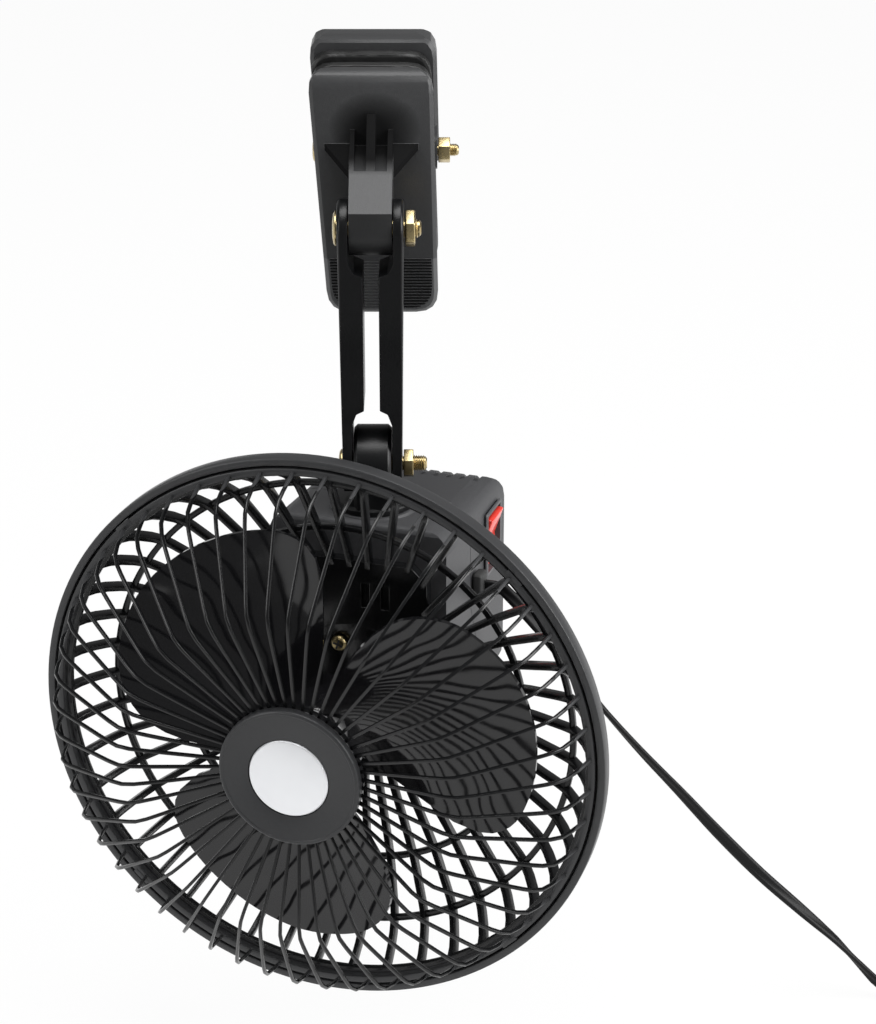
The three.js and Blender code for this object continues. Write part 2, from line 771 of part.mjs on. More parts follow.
function frontGuard() {
  const rim = turnedBetween([
    [frontRimInner, rimFront + frontRimStep],
    [frontRimOuter, rimFront + frontRimStep],
    [frontRimOuter, rimFloor - seat],
    [frontRimInner, rimFloor - seat],
  ], spokeCount, spokePhase);
  const plate = turnedBetween([
    [0, hubPlateFront],
    [hubRadius - hubPlateInset, hubPlateFront],
    [hubRadius - hubPlateInset, hubPlateBack],
    [0, hubPlateBack],
  ], spokeCount, spokePhase);
  const path = [
    [hubRadius - spokeRoot, spokeRootFront],
    [spokeCrest.r, spokeCrest.b],
    [spokeCrestEnd.r, spokeCrestEnd.b],
    [frontRimInner - spokeShoulder, spokeShoulderFront],
    [frontRimInner - overrun, spokeKneeFront],
    [(frontRimInner + frontRimOuter) / 2, rimFront + spokeTipBack],
  ];
  const spokes = cage(spokeCount, spokePhase,
    (angle) => bar(path, spokeThickness, spokeThickness, angle));
  let body = join(rim, plate, spokes).warp(asideAtHub);
  for (let i = 0; i < 4; i += 1) {
    const tab = solid(new THREE.BoxGeometry(
      channelOuter - seat - frontRimOuter + latchSink, rimFloor - seat, latchWidth,
    ).translate((channelOuter - seat + frontRimOuter - latchSink) / 2, (rimFloor - seat) / 2, 0)
      .rotateY(latchAngle + (i * Math.PI) / 2));
    body = body.add(tab);
  }
  return body;
}

const badgeRadius = 12.4;
const badgeThickness = 0.9;
const badgeBevel = 0.5;
const badgeEdge = 0.3;
const capFront = -28.2;
const capBevel = 1.2;
const capBevelDeep = 0.9;

function hubCap() {
  const back = hubPlateFront - seat;
  return turned([
    [0, capFront + badgeThickness],
    [badgeRadius + seat, capFront + badgeThickness],
    [badgeRadius + seat, capFront],
    [hubRadius - capBevel, capFront],
    [hubRadius, capFront + capBevelDeep],
    [hubRadius, back],
    [0, back],
  ], 36).translate([hubAside, 0, hubAbove]);
}

function hubBadge() {
  const back = capFront + badgeThickness - seat;
  return turned([
    [0, back - badgeThickness],
    [badgeRadius - badgeBevel, back - badgeThickness],
    [badgeRadius, back - badgeThickness + badgeEdge],
    [badgeRadius, back],
    [0, back],
  ], 32).translate([hubAside, 0, hubAbove]);
}

const rimWide = 6.8;
const rimInner = rimRadius - rimWide;
const rimBevel = 1;
const ribRoot = 2;
const ribShoulder = { r: 81.4, b: 12 };
const outerRing = { r: 74.9, b: 19.95 };
const innerRing = { r: 57.1, b: 28 };
const ribInsideRing = 0.1;
const ribBehindRing = 0.05;
const ribFootBack = 34.6;
const ringHalf = 0.95;
const plateFront = 33;
const plateBack = houseFront - seat;
const plateHalf = 24;
const plateTop = 44;
const plateRound = 30;
const plateChamfer = 5;
const plateEdge = 1;
const plateRecessRadius = 22;
const plateRecessDeep = 1.3;
const shaftOpening = 4.5;
const slotLow = 28.6;
const slotHigh = 36.6;
const slotWide = 2.6;
const slotPlaces = [2.6, 9];
const slotSkin = 1;
const motorScrewHead = 2.2;
const motorScrewDome = 0.1;
const motorScrewSide = 1.2;
const motorScrewPlaces = [[-5, 15], [5, -15]];

function plateShape(inset) {
  const top = plateTop - inset;
  const half = plateHalf - inset;
  const radius = plateRound - inset;
  const turn = Math.acos(half / radius);
  const shape = new THREE.Shape();
  shape.moveTo(-half, top - plateChamfer);
  shape.absarc(0, 0, radius, Math.PI - turn, turn, false);
  shape.lineTo(half, top - plateChamfer);
  shape.lineTo(half - plateChamfer, top);
  shape.lineTo(-half + plateChamfer, top);
  return shape;
}

// How far the plate's edge lies from the fan axis in one direction
function plateReach(angle) {
  const across = Math.abs(Math.cos(angle));
  const upward = Math.sin(angle);
  if (upward <= 0) return plateRound;
  const corner = (plateHalf + plateTop - plateChamfer) / (across + upward);
  return Math.max(plateRound, Math.min(plateHalf / across, plateTop / upward, corner));
}

function rearGuard() {
  const rim = turnedBetween([
    [rimInner, rimFloor],
    [channelOuter, rimFloor],
    [channelOuter, rimFront],
    [rimRadius, rimFront],
    [rimRadius, rimBack - rimBevel],
    [rimRadius - rimBevel, rimBack],
    [rimInner, rimBack],
  ], ribCount, ribPhase);
  const path = (angle) => [
    [rimInner + ribRoot, (rimFloor + rimBack) / 2],
    [ribShoulder.r, ribShoulder.b],
    [outerRing.r - ribInsideRing, outerRing.b + ribBehindRing],
    [innerRing.r, innerRing.b],
    [plateReach(angle) - ribRoot, ribFootBack],
  ];
  const ring = ({ r, b }) => turnedBetween([
    [r - ringHalf, b - ringHalf],
    [r + ringHalf, b - ringHalf],
    [r + ringHalf, b + ringHalf],
    [r - ringHalf, b + ringHalf],
  ], ribCount, ribPhase);
  const ribs = cage(ribCount, ribPhase, (angle) => bar(path(angle), ribDepth, ribWidth, angle));
  const deep = plateBack - slotSkin;
  const near = plateFront - overrun;
  const far = plateBack + overrun;
  const plate = cut(
    alongY(plateShape(0), plateFront, plateBack, plateEdge, 10),
    alongY(disc(plateRecessRadius), near, plateFront + plateRecessDeep, 0, 10),
    alongY(disc(shaftOpening), near, far, 0, 4),
    ...motorScrewPlaces.map(([l, u]) => alongY(disc(screwRadius + seat, l, u), near, far, 0, 4)),
    ...slotPlaces.map((left) => alongY(plainBox(left, left + slotWide, slotLow, slotHigh), near, deep)),
  );
  return join(ribs, rim, ring(outerRing), ring(innerRing), plate);
}

// Blades: three broad petals, each a curved sheet between two radial edges, on a domed hub
const bladePitchFront = -10;
const bladePitchBack = 5;
const bladeHub = 15;
const bladeCamber = 2.2;
const petalSink = 2;
const domeFront = -16;
const domeDeep = 8;
const bladeHubBack = 12;
const petalAngles = [-31, -29, -26, -20, -11, 0, 12, 24, 35, 45, 53, 59, 64, 67.5];
const petalShares = [0.7, 0.8, 0.87, 0.93, 0.96, 0.98, 0.995, 0.995, 0.97, 0.93, 0.86, 0.765, 0.61, 0.42];

function petal() {
  const rows = 2;
  const columns = petalAngles.length;
  const place = (column, row, side) => {
    const degrees = petalAngles[column];
    const first = petalAngles[0];
    const span = petalAngles[columns - 1] - first;
    const share = (degrees - first) / span;
    const out = row / (rows - 1);
    const radius = THREE.MathUtils.lerp(bladeHub - petalSink, bladeRadius * petalShares[column], out);
    const pitch = THREE.MathUtils.lerp(bladePitchBack, bladePitchFront, share);
    const camber = bladeCamber * Math.sin(Math.PI * share) * out;
    const angle = THREE.MathUtils.degToRad(degrees);
    return [
      radius * Math.cos(angle),
      pitch + camber + (side * bladeThickness) / 2,
      radius * Math.sin(angle),
    ];
  };
  const vertices = [];
  const faces = [];
  for (const side of [-1, 1]) {
    for (let c = 0; c < columns; c += 1) {
      for (let r = 0; r < rows; r += 1) vertices.push(...place(c, r, side));
    }
  }
  const at = (side, c, r) => side * columns * rows + c * rows + r;
  const quad = (a, b, c, d) => faces.push(a, b, c, a, c, d);
  for (let c = 0; c + 1 < columns; c += 1) {
    for (let r = 0; r + 1 < rows; r += 1) {
      quad(at(0, c, r), at(0, c, r + 1), at(0, c + 1, r + 1), at(0, c + 1, r));
      quad(at(1, c, r), at(1, c + 1, r), at(1, c + 1, r + 1), at(1, c, r + 1));
    }
    quad(at(0, c, 0), at(0, c + 1, 0), at(1, c + 1, 0), at(1, c, 0));
    quad(at(0, c, rows - 1), at(1, c, rows - 1), at(1, c + 1, rows - 1), at(0, c + 1, rows - 1));
  }
  for (let r = 0; r + 1 < rows; r += 1) {
    quad(at(0, 0, r), at(1, 0, r), at(1, 0, r + 1), at(0, 0, r + 1));
    quad(at(0, columns - 1, r), at(0, columns - 1, r + 1), at(1, columns - 1, r + 1), at(1, columns - 1, r));
  }
  const geometry = new THREE.BufferGeometry();
  geometry.setAttribute('position', new THREE.Float32BufferAttribute(vertices, 3));
  geometry.setIndex(faces);
  return geometry;
}

const shaftFront = -7;

function fanBlades() {
  const hub = turned([
    [0, domeFront],
    [bladeHub * (7 / 15), domeFront + domeDeep * 0.1],
    [bladeHub * 0.8, domeFront + domeDeep * 0.425],
    [bladeHub, domeFront + domeDeep],
    [bladeHub, bladeHubBack],
    [0, bladeHubBack],
  ], 24);
  let body = hub;
  for (let i = 0; i < bladeCount; i += 1) {
    body = body.add(solid(petal().rotateY(-(i / bladeCount) * Math.PI * 2)));
  }
  const bore = turned([
    [0, shaftFront - seat],
    [shaftRadius + seat, shaftFront - seat],
    [shaftRadius + seat, bladeHubBack + overrun],
    [0, bladeHubBack + overrun],
  ]);
  return body.subtract(bore);
}

// Motor, held behind the guard's centre plate by two brass screws
const canFront = houseFront + houseWall + seat;
const shaftInCan = 18;
const shaftBack = canFront + shaftInCan;
const canEdge = 1;

function motorCan() {
  const can = turned([
    [0, canFront],
    [motorRadius - canEdge, canFront],
    [motorRadius, canFront + canEdge],
    [motorRadius, motorBack],
    [0, motorBack],
  ], 28);
  const bore = turned([
    [0, canFront - overrun],
    [shaftRadius + seat, canFront - overrun],
    [shaftRadius + seat, shaftBack + seat],
    [0, shaftBack + seat],
  ]);
  return cut(can, bore);
}

function motorShaft() {
  return turned([
    [0, shaftFront],
    [shaftRadius, shaftFront],
    [shaftRadius, shaftBack],
    [0, shaftBack],
  ], 14);
}

// Housing: a front shell behind the guard plate and a rear shell with the vents, switch and cord outlet
const partingTop = 61.4;
const partingKnee = { b: 61.6, u: 20 };
const partingElbow = { b: 72, u: -4 };
const partingFoot = 78;
const aboveRoof = 14.5;
const belowFloor = 12;
const houseRise = 2;
const houseLip = 2;
const fineCorner = 0.1;
const turretFlare = 1.4;
const turretLip = 0.8;
const shaftBore = 5;

function partingShape(forRear, gap) {
  const above = houseRoofFront + aboveRoof;
  const below = houseFloor - belowFloor;
  const line = [[partingTop, above], [partingKnee.b, partingKnee.u], [partingElbow.b, partingElbow.u],
    [partingFoot, below]].map(([b, u]) => [b + gap, u]);
  const far = forRear ? houseBack + overrun * 5 : houseFront - overrun * 5;
  return outline([...line, [far, below], [far, above]]);
}

function houseBlock(inset) {
  const half = houseHalf - inset;
  const section = box(-half, half, houseFloor + inset, houseRoofFront + houseRise,
    houseCorner - inset);
  const flanks = alongY(section, houseFront + inset, houseBack - inset, 0, 5);
  const side = rounded([
    [houseFront + inset, houseFloor + inset, houseLip],
    [houseFront + inset, houseRoofFront - inset, houseLip],
    [houseBack - inset, houseRoofBack - inset, houseCorner - inset],
    [houseBack - inset, houseFloor + inset, houseCorner - inset],
  ]);
  const topSide = rounded([
    [-half, houseFloor + inset, fineCorner],
    [-half, houseRoofFront - inset, houseCorner - inset],
    [half, houseRoofFront - inset, houseCorner - inset],
    [half, houseFloor + inset, fineCorner],
  ]);
  const shear = (houseRoofBack - houseRoofFront) / (houseBack - houseFront);
  const roof = alongY(topSide, houseFront + inset, houseBack - inset, 0, 5)
    .translate([0, -houseFront, 0])
    .transform([1, 0, 0, 0, 0, 1, shear, 0, 0, 0, 1, 0, 0, 0, 0, 1])
    .translate([0, houseFront, 0]);
  return flanks.intersect(alongX(side, -half, half)).intersect(roof);
}

function frontShell() {
  const region = alongX(partingShape(false, 0), -houseHalf - overrun, houseHalf + overrun);
  const shell = cut(houseBlock(0), houseBlock(houseWall)).intersect(region);
  const turret = turnedZ([
    [0, roofAt(neckBack) - houseWall],
    [neckFlangeRadius + turretFlare, roofAt(neckBack) - houseWall],
    [neckFlangeRadius + turretLip, turretTop],
    [0, turretTop],
  ], 32).translate([0, neckBack, 0])
    .intersect(alongX(partingShape(false, 0), -houseHalf, houseHalf));
  const postHole = turnedZ([
    [0, postFoot],
    [postRadius + seat, postFoot],
    [postRadius + seat, turretTop + overrun],
    [0, turretTop + overrun],
  ]).translate([0, neckBack, 0]);
  return cut(
    join(shell, turret),
    postHole,
    alongY(disc(shaftBore), houseFront - overrun, canFront, 0, 8),
    ...motorScrewPlaces.map(([l, u]) => alongY(disc(screwRadius + seat, l, u), houseFront - overrun,
      canFront, 0, 5)),
  );
}

const switchFromBack = 14.5;
const switchFromRoof = 21;
const switchCentre = { b: houseBack - switchFromBack, u: houseRoofFront - switchFromRoof };
const bezelWide = 15.8;
const bezelTall = 22.2;
const bezelProud = 1.2;
const switchWide = 14;
const switchTall = 20.4;
const wellWide = 12.8;
const wellTall = 19.6;
const wellFloor = 23.8;
const rockerWide = 12.2;
const rockerTall = 18.2;
const rockerPivot = 27.5;
const rockerTilt = 9; // degrees
const rockerHorn = 2.6;
const rockerDip = 1.1;
const rockerFlank = 1.4;
const rockerTaper = 0.2;
const rockerKeel = 3.2;
const rockerKeelHalf = 2;
const bezelCorner = 1;
const bezelEdge = 0.4;
const switchDeep = 6;
const switchProud = 0.6;
const glandAhead = 18.1;
const glandBelow = 8.5;
const glandPlace = { b: switchCentre.b - glandAhead, u: switchCentre.u - glandBelow };
const glandWide = 6.2;
const glandTall = 9.2;
const glandNeckWide = 3.4;
const glandNeckTall = 5.4;
const ventPitch = 4.4;
const ventCount = 11;
const ventDepth = 0.9;
const ventWide = 1.8;
const shellBossRadius = 3.6;
const shellBossLong = 12;
const shellScrewLong = 10;
const screwHeadDeep = 1.2;
const ventRun = 11; // how far the grooves run on over the roof

function rearShell() {
  const region = alongX(partingShape(true, seat), -houseHalf - overrun, houseHalf + overrun);
  const turretClear = turnedZ([
    [0, houseFloor],
    [neckFlangeRadius + turretFlare + seat, houseFloor],
    [neckFlangeRadius + turretFlare + seat, turretTop + overrun],
    [0, turretTop + overrun],
  ], 32).translate([0, neckBack, 0]);
  const slabs = [];
  for (let i = 0; i < ventCount; i += 1) {
    const l = (i - (ventCount - 1) / 2) * ventPitch;
    slabs.push(alongY(plainBox(l - ventWide / 2, l + ventWide / 2, houseFloor + houseCorner, houseRoofFront),
      houseBack - ventRun, houseBack + overrun));
  }
  const vents = cut(join(...slabs), houseBlock(ventDepth));
  const switchHole = alongX(centredBox(switchCentre, switchWide + 2 * seat, switchTall + 2 * seat),
    wellFloor, houseHalf + overrun);
  const glandHole = alongX(centredBox(glandPlace, glandNeckWide + 2 * seat, glandNeckTall + 2 * seat),
    wellFloor, houseHalf + overrun);
  const screwHoles = [-1, 1].map((side) => alongY(disc(screwRadius + seat, side * screwAcross, screwUp),
    houseBack - shellBossLong, houseBack + overrun, 0, 5));
  const bosses = [-1, 1].map((side) => alongY(disc(shellBossRadius, side * screwAcross, screwUp),
    bossFront, houseBack - houseWall / 2, 0, 6));
  const shell = cut(houseBlock(0), houseBlock(houseWall)).intersect(region);
  return cut(join(shell, ...bosses), turretClear, vents, switchHole, glandHole, ...screwHoles);
}

const screwAcross = 17;
const screwUp = -8;
const bossFront = 80;

function shellScrew(side) {
  const seatY = houseBack + seat;
  return turned([
    [0, seatY + screwHeadDeep],
    [screwRadius * 1.9, seatY + screwHeadDeep],
    [screwRadius * 1.9, seatY],
    [screwRadius, seatY],
    [screwRadius, houseBack - shellScrewLong],
    [0, houseBack - shellScrewLong],
  ], 12).translate([side * screwAcross, 0, screwUp]);
}

function motorScrew([l, u]) {
  const seatY = plateFront + plateRecessDeep - seat;
  return turned([
    [0, seatY - motorScrewHead],
    [screwRadius * 1.2, seatY - motorScrewHead + motorScrewDome],
    [screwRadius * 1.75, seatY - motorScrewSide],
    [screwRadius * 1.75, seatY],
    [screwRadius, seatY],
    [screwRadius, canFront - seat],
    [0, canFront - seat],
  ], 16).translate([l, 0, u]);
}

// Rocker switch in the right wall
function switchBody() {
  const bezel = alongX(centredBox(switchCentre, bezelWide, bezelTall, bezelCorner), houseHalf + seat,
    houseHalf + bezelProud, bezelEdge, 2);
  const block = alongX(centredBox(switchCentre, switchWide, switchTall), wellFloor - switchDeep,
    houseHalf + switchProud);
  const well = alongX(centredBox(switchCentre, wellWide, wellTall), wellFloor, houseHalf + overrun);
  return join(bezel, block).subtract(well);
}

function switchRocker() {
  const end = rockerTall / 2;
  const shape = outline([
    [rockerHorn, -end],
    [rockerDip, 0],
    [rockerHorn, end],
    [-rockerFlank, end - rockerTaper],
    [-rockerKeel, rockerKeelHalf],
    [-rockerKeel, -rockerKeelHalf],
    [-rockerFlank, rockerTaper - end],
  ]);
  const blank = new THREE.ExtrudeGeometry(shape, { depth: rockerWide, bevelEnabled: false })
    .translate(0, 0, -rockerWide / 2)
    .applyMatrix4(new THREE.Matrix4().makeBasis(axisX, axisZ, axisY.clone().negate()));
  return solid(blank).rotate([0, rockerTilt, 0])
    .translate([rockerPivot, switchCentre.b, switchCentre.u]);
}

// Gearbox that swings the head: a crank on its top and a link to the lever on the neck's post
const gearFront = motorBack + seat;
const gearBack = 93;
const gearFloor = -11;
const gearRoof = 30;
const gearHalf = 12;
const gearRound = 2;
const stubRadius = 2.4;
const stubSink = 1;
const stubTall = 3;
const crankPlace = 84;
const crankTop = 34;
const crankRadius = 8.6;
const crankThrow = 5.6;
const crankPinRadius = 1.6;
const crankPinTop = 40.4;
const linkRadius = 3;
const linkThickness = 2;

function gearbox() {
  const block = alongX(box(gearFront, gearBack, gearFloor, gearRoof, gearRound), -gearHalf, gearHalf, 0, 2);
  const stub = turnedZ([
    [0, gearRoof - stubSink],
    [stubRadius, gearRoof - stubSink],
    [stubRadius, gearRoof + stubTall],
    [0, gearRoof + stubTall],
  ], 14).translate([0, crankPlace, 0]);
  return join(block, stub);
}

function crankDisc() {
  const disk = turnedZ([
    [stubRadius + seat, gearRoof + seat],
    [crankRadius, gearRoof + seat],
    [crankRadius, crankTop],
    [stubRadius + seat, crankTop],
  ], 24);
  const pin = turnedZ([
    [0, crankTop - stubSink],
    [crankPinRadius, crankTop - stubSink],
    [crankPinRadius, crankPinTop],
    [0, crankPinTop],
  ], 12).translate([0, -crankThrow, 0]);
  return join(disk, pin).translate([0, crankPlace, 0]);
}

function driveLink() {
  const tip = new THREE.Vector2(0, leverReach).rotateAround(new THREE.Vector2(), -headYaw);
  const from = new THREE.Vector2(0, crankPlace - crankThrow);
  const to = new THREE.Vector2(tip.x, neckBack + tip.y);
  const run = to.clone().sub(from);
  const shape = new THREE.Shape();
  shape.absarc(0, 0, linkRadius, Math.PI / 2, Math.PI * 1.5, false);
  shape.absarc(run.length(), 0, linkRadius, -Math.PI / 2, Math.PI / 2, false);
  const low = postFoot;
  return alongZ(shape, low, low + linkThickness, 0, 8)
    .subtract(alongZ(disc(crankPinRadius + seat), low - overrun, low + linkThickness + overrun))
    .rotate([0, 0, THREE.MathUtils.radToDeg(run.angle())])
    .translate([from.x, from.y, 0]);
}

add(fan, 'front_guard', frontGuard(), 'shell');
add(fan, 'hub_cap', hubCap(), 'housing');
add(fan, 'hub_badge', hubBadge(), 'silver');
add(fan, 'rear_guard', rearGuard(), 'shell');
add(fan, 'fan_blades', fanBlades(), 'gloss');
add(fan, 'motor_shaft', motorShaft(), 'steel');
add(fan, 'motor_can', motorCan(), 'steel');
add(fan, 'motor_screw_upper', motorScrew(motorScrewPlaces[0]), 'brass');
add(fan, 'motor_screw_lower', motorScrew(motorScrewPlaces[1]), 'brass');
add(fan, 'housing_front_shell', frontShell(), 'housing');
add(fan, 'housing_rear_shell', rearShell(), 'housing');
add(fan, 'housing_screw_left', shellScrew(-1), 'steel');
add(fan, 'housing_screw_right', shellScrew(1), 'steel');
add(fan, 'switch_body', switchBody(), 'shell');
add(fan, 'switch_rocker', switchRocker(), 'red');
add(fan, 'gearbox', gearbox(), 'shell');
add(fan, 'crank_disc', crankDisc(), 'shell');
add(fan, 'drive_link', driveLink(), 'steel');

// Cord: a flat twin lead from the gland down to the ground, wound up there, ending in a lighter plug
const glandLong = 3.6;
const glandRound = 1.5;
const glandEdge = 0.6;
const glandNeckReach = 1;

function cordGland() {
  const collar = alongX(centredBox(glandPlace, glandWide, glandTall, glandRound), houseHalf + seat,
    houseHalf + glandLong, glandEdge, 3);
  const neckPiece = alongX(centredBox(glandPlace, glandNeckWide, glandNeckTall),
    houseHalf - houseWall - glandNeckReach, houseHalf + glandNeckReach);
  return join(collar, neckPiece);
}

add(fan, 'cord_gland', cordGland(), 'rubber');

const cordZ = groundZ + 1.2 + cordHalfThickness;
const route = [
  [35.2, -29.2, -154],
  [38.1, -30.15, -154],
  [41, -31.1, -154.6],
  [44.4, -32.2, -157.8],
  [48, -33.3, -161.8],
  [52.8, -34.2, -167.6],
  [62, -35.2, -179.8],
  [72.1, -36, -193.2],
  [85.4, -36, -209.6],
  [99, -36, -225.1],
  [111.6, -36, -239.8],
  [126.6, -36, -256.1],
  [142.3, -36, -271.2],
  [153.5, -36, -282],
  [162, -36.2, -291.5],
  [169.5, -37.5, -298.8],
  [178, -41.5, cordZ],
  [187, -47.5, cordZ],
  [196.5, -54.5, cordZ],
  [205.5, -59, cordZ],
  [214, -60, cordZ],
  [219.7, -60, cordZ],
].map(([x, y, z]) => new THREE.Vector3(x, y, z));

function cordLead() {
  const curve = new THREE.CatmullRomCurve3(route.slice(1, -1), false, 'centripetal');
  const steps = 32;
  const points = [route[0], ...curve.getSpacedPoints(steps), route[route.length - 1]];
  const flatFrom = 0.55;
  const flatTo = 0.8;
  const ups = points.map((point, i) => {
    const share = THREE.MathUtils.smoothstep(i / steps, flatFrom, flatTo);
    return new THREE.Vector3(headTurnX, 1, 0).lerp(axisZ, share).normalize();
  });
  return sweep(points, cordHalfWidth, cordHalfThickness, 8, ups);
}

// The wound cord: a spiral inwards on the ground, half a turn of climb, and a spiral out on top of it
const turnPitch = 6.4;
const layerTurns = 2.25;
const layerRise = 3.4;
const stepsPerTurn = 24;
const leadIn = 6;
const tailRun = 32;
const plugAxis = 10.6;

function coilPoints() {
  const points = [];
  const climb = 0.5;
  const total = layerTurns * 2 + climb;
  const steps = Math.round(total * stepsPerTurn);
  const within = (value) => THREE.MathUtils.clamp(value / climb, 0, 1);
  const eased = (share) => share * share * (3 - 2 * share);
  points.push(new THREE.Vector3(coilCentre.x - leadIn, coilCentre.y - coilRadius, cordZ));
  for (let i = 0; i <= steps; i += 1) {
    const turns = (i / steps) * total;
    const past = turns - layerTurns;
    const inward = Math.min(turns, layerTurns) - Math.max(past - climb, 0);
    const dip = (within(past + climb) - within(past - climb)) / 2;
    const radius = coilRadius - turnPitch * (inward + dip);
    const angle = turns * Math.PI * 2 - Math.PI / 2;
    points.push(new THREE.Vector3(
      coilCentre.x + radius * Math.cos(angle),
      coilCentre.y + radius * Math.sin(angle),
      cordZ + layerRise * eased(within(past)),
    ));
  }
  const last = points[points.length - 1];
  const rise = groundZ + plugAxis - last.z;
  for (let i = 1; i <= 6; i += 1) {
    const share = i / 6;
    points.push(last.clone().add(new THREE.Vector3(tailRun * share, 0, rise * eased(share))));
  }
  return points;
}

// The least gap between turns, measured on the centreline and less the cord's own thickness
function leastGap(points) {
  let least = Infinity;
  for (let i = 0; i < points.length; i += 1) {
    for (let j = i + 8; j < points.length; j += 1) {
      const away = points[i].clone().sub(points[j]);
      const flat = Math.hypot(away.x, away.y) - 2 * cordHalfWidth;
      const tall = Math.abs(away.z) - 2 * cordHalfThickness;
      least = Math.min(least, Math.max(flat, tall));
    }
  }
  return least;
}

const coil = coilPoints();
console.log(`least gap of the wound cord to itself: ${leastGap(coil).toFixed(2)} mm`);
const cord = new THREE.Group();
add(cord, 'cord_lead', cordLead(), 'cord');
add(cord, 'cord_coil', sweep(coil, cordHalfWidth, cordHalfThickness, 6, axisZ), 'cord');

// A strap tie round the wound turns
function cordTie() {
  const inner = coilRadius - turnPitch * (layerTurns + 0.5) - cordHalfWidth - 1.2;
  const outer = coilRadius + cordHalfWidth + 1;
  const low = cordZ - cordHalfThickness - seat;
  const high = cordZ + layerRise + cordHalfThickness + seat;
  const thick = 0.8;
  const ring = alongY(box(inner - thick, outer + thick, low - thick, high + thick, 1.2), -1.6, 1.6, 0, 3)
    .subtract(alongY(box(inner, outer, low, high, 0.6), -overrun, overrun, 0, 3));
  return ring.rotate([0, 0, 120]).translate([coilCentre.x, coilCentre.y, 0]);
}

add(cord, 'cord_tie', cordTie(), 'rubber');

// Lighter plug, lying along X beside the wound cord
const lighterPlug = new THREE.Group();
const coilEnd = coil[coil.length - 1];
lighterPlug.position.set(coilEnd.x + seat, coilEnd.y, groundZ + plugAxis);
cord.add(lighterPlug);
const plugTail = 14;
const plugBodyRadius = 10.3;
const plugNoseRadius = 8.8;
const plugBodyLong = 34;
const plugNoseLong = 26;

function plugBody() {
  const shoulder = plugTail + plugBodyLong;
  const nose = shoulder + plugNoseLong;
  return turnedX([
    [0, 0],
    [3.6, 0],
    [4.6, plugTail],
    [7.5, plugTail],
    [plugBodyRadius, plugTail + 5],
    [plugBodyRadius, shoulder - 3],
    [plugNoseRadius, shoulder],
    [plugNoseRadius, nose - 2],
    [plugNoseRadius - 1.5, nose],
    [3.6, nose],
    [3.6, nose - 4],
    [0, nose - 4],
  ], 20);
}

function plugTip() {
  const nose = plugTail + plugBodyLong + plugNoseLong;
  return turnedX([
    [0, nose - 4 + seat],
    [3.3, nose - 4 + seat],
    [3.3, nose + 1.5],
    [1.8, nose + 3.6],
    [0, nose + 4],
  ], 16);
}

function plugContact(side) {
  const from = plugTail + plugBodyLong + 6;
  const low = plugNoseRadius + seat;
  const strip = outline([
    [from, low],
    [from + 14, low],
    [from + 10, low + 1.3],
    [from + 4, low + 1.3],
  ]);
  return alongZ(strip, -1.6, 1.6).scale([1, side, 1]);
}

add(lighterPlug, 'plug_body', plugBody(), 'shell');
add(lighterPlug, 'plug_tip', plugTip(), 'steel');
add(lighterPlug, 'plug_contact_front', plugContact(-1), 'steel');
add(lighterPlug, 'plug_contact_back', plugContact(1), 'steel');

const clipFan = new THREE.Group();
clipFan.add(clip, rearJaw, arm, neck, head, cord);

export default clipFan;
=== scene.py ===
import math

import bmesh
import bpy
from mathutils import Matrix, Vector


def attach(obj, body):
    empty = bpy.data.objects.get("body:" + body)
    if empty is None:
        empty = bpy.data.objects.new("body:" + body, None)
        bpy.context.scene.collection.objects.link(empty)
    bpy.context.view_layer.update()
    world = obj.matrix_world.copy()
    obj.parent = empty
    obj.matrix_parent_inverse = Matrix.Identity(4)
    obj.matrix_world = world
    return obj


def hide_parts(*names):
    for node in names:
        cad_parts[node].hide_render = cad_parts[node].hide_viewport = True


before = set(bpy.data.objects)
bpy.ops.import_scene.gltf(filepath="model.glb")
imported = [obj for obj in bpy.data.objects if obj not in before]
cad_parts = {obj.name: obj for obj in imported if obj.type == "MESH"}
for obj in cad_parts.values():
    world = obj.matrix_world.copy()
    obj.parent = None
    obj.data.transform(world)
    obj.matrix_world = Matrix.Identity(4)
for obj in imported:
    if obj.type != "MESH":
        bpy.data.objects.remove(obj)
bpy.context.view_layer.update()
MM = 0.001

# Camera: the view is that of the photograph, taken from a little right of the clip's middle and from
# above, through a long lens. The colours are shown as they are written.
view = bpy.data.cameras.new("photo_view")
view.sensor_fit = "VERTICAL"
view.sensor_height = 36
view.lens = 91.4
look_down = 23.5
view.clip_start = 0.05
view.clip_end = 50
camera = bpy.data.objects.new("photo_view", view)
camera.location = (0.0201, -0.7766, 0.1964)
camera.rotation_euler = (math.radians(90 - look_down), 0, 0)
bpy.context.collection.objects.link(camera)
bpy.context.scene.camera = camera
bpy.context.scene.view_settings.view_transform = "Standard"


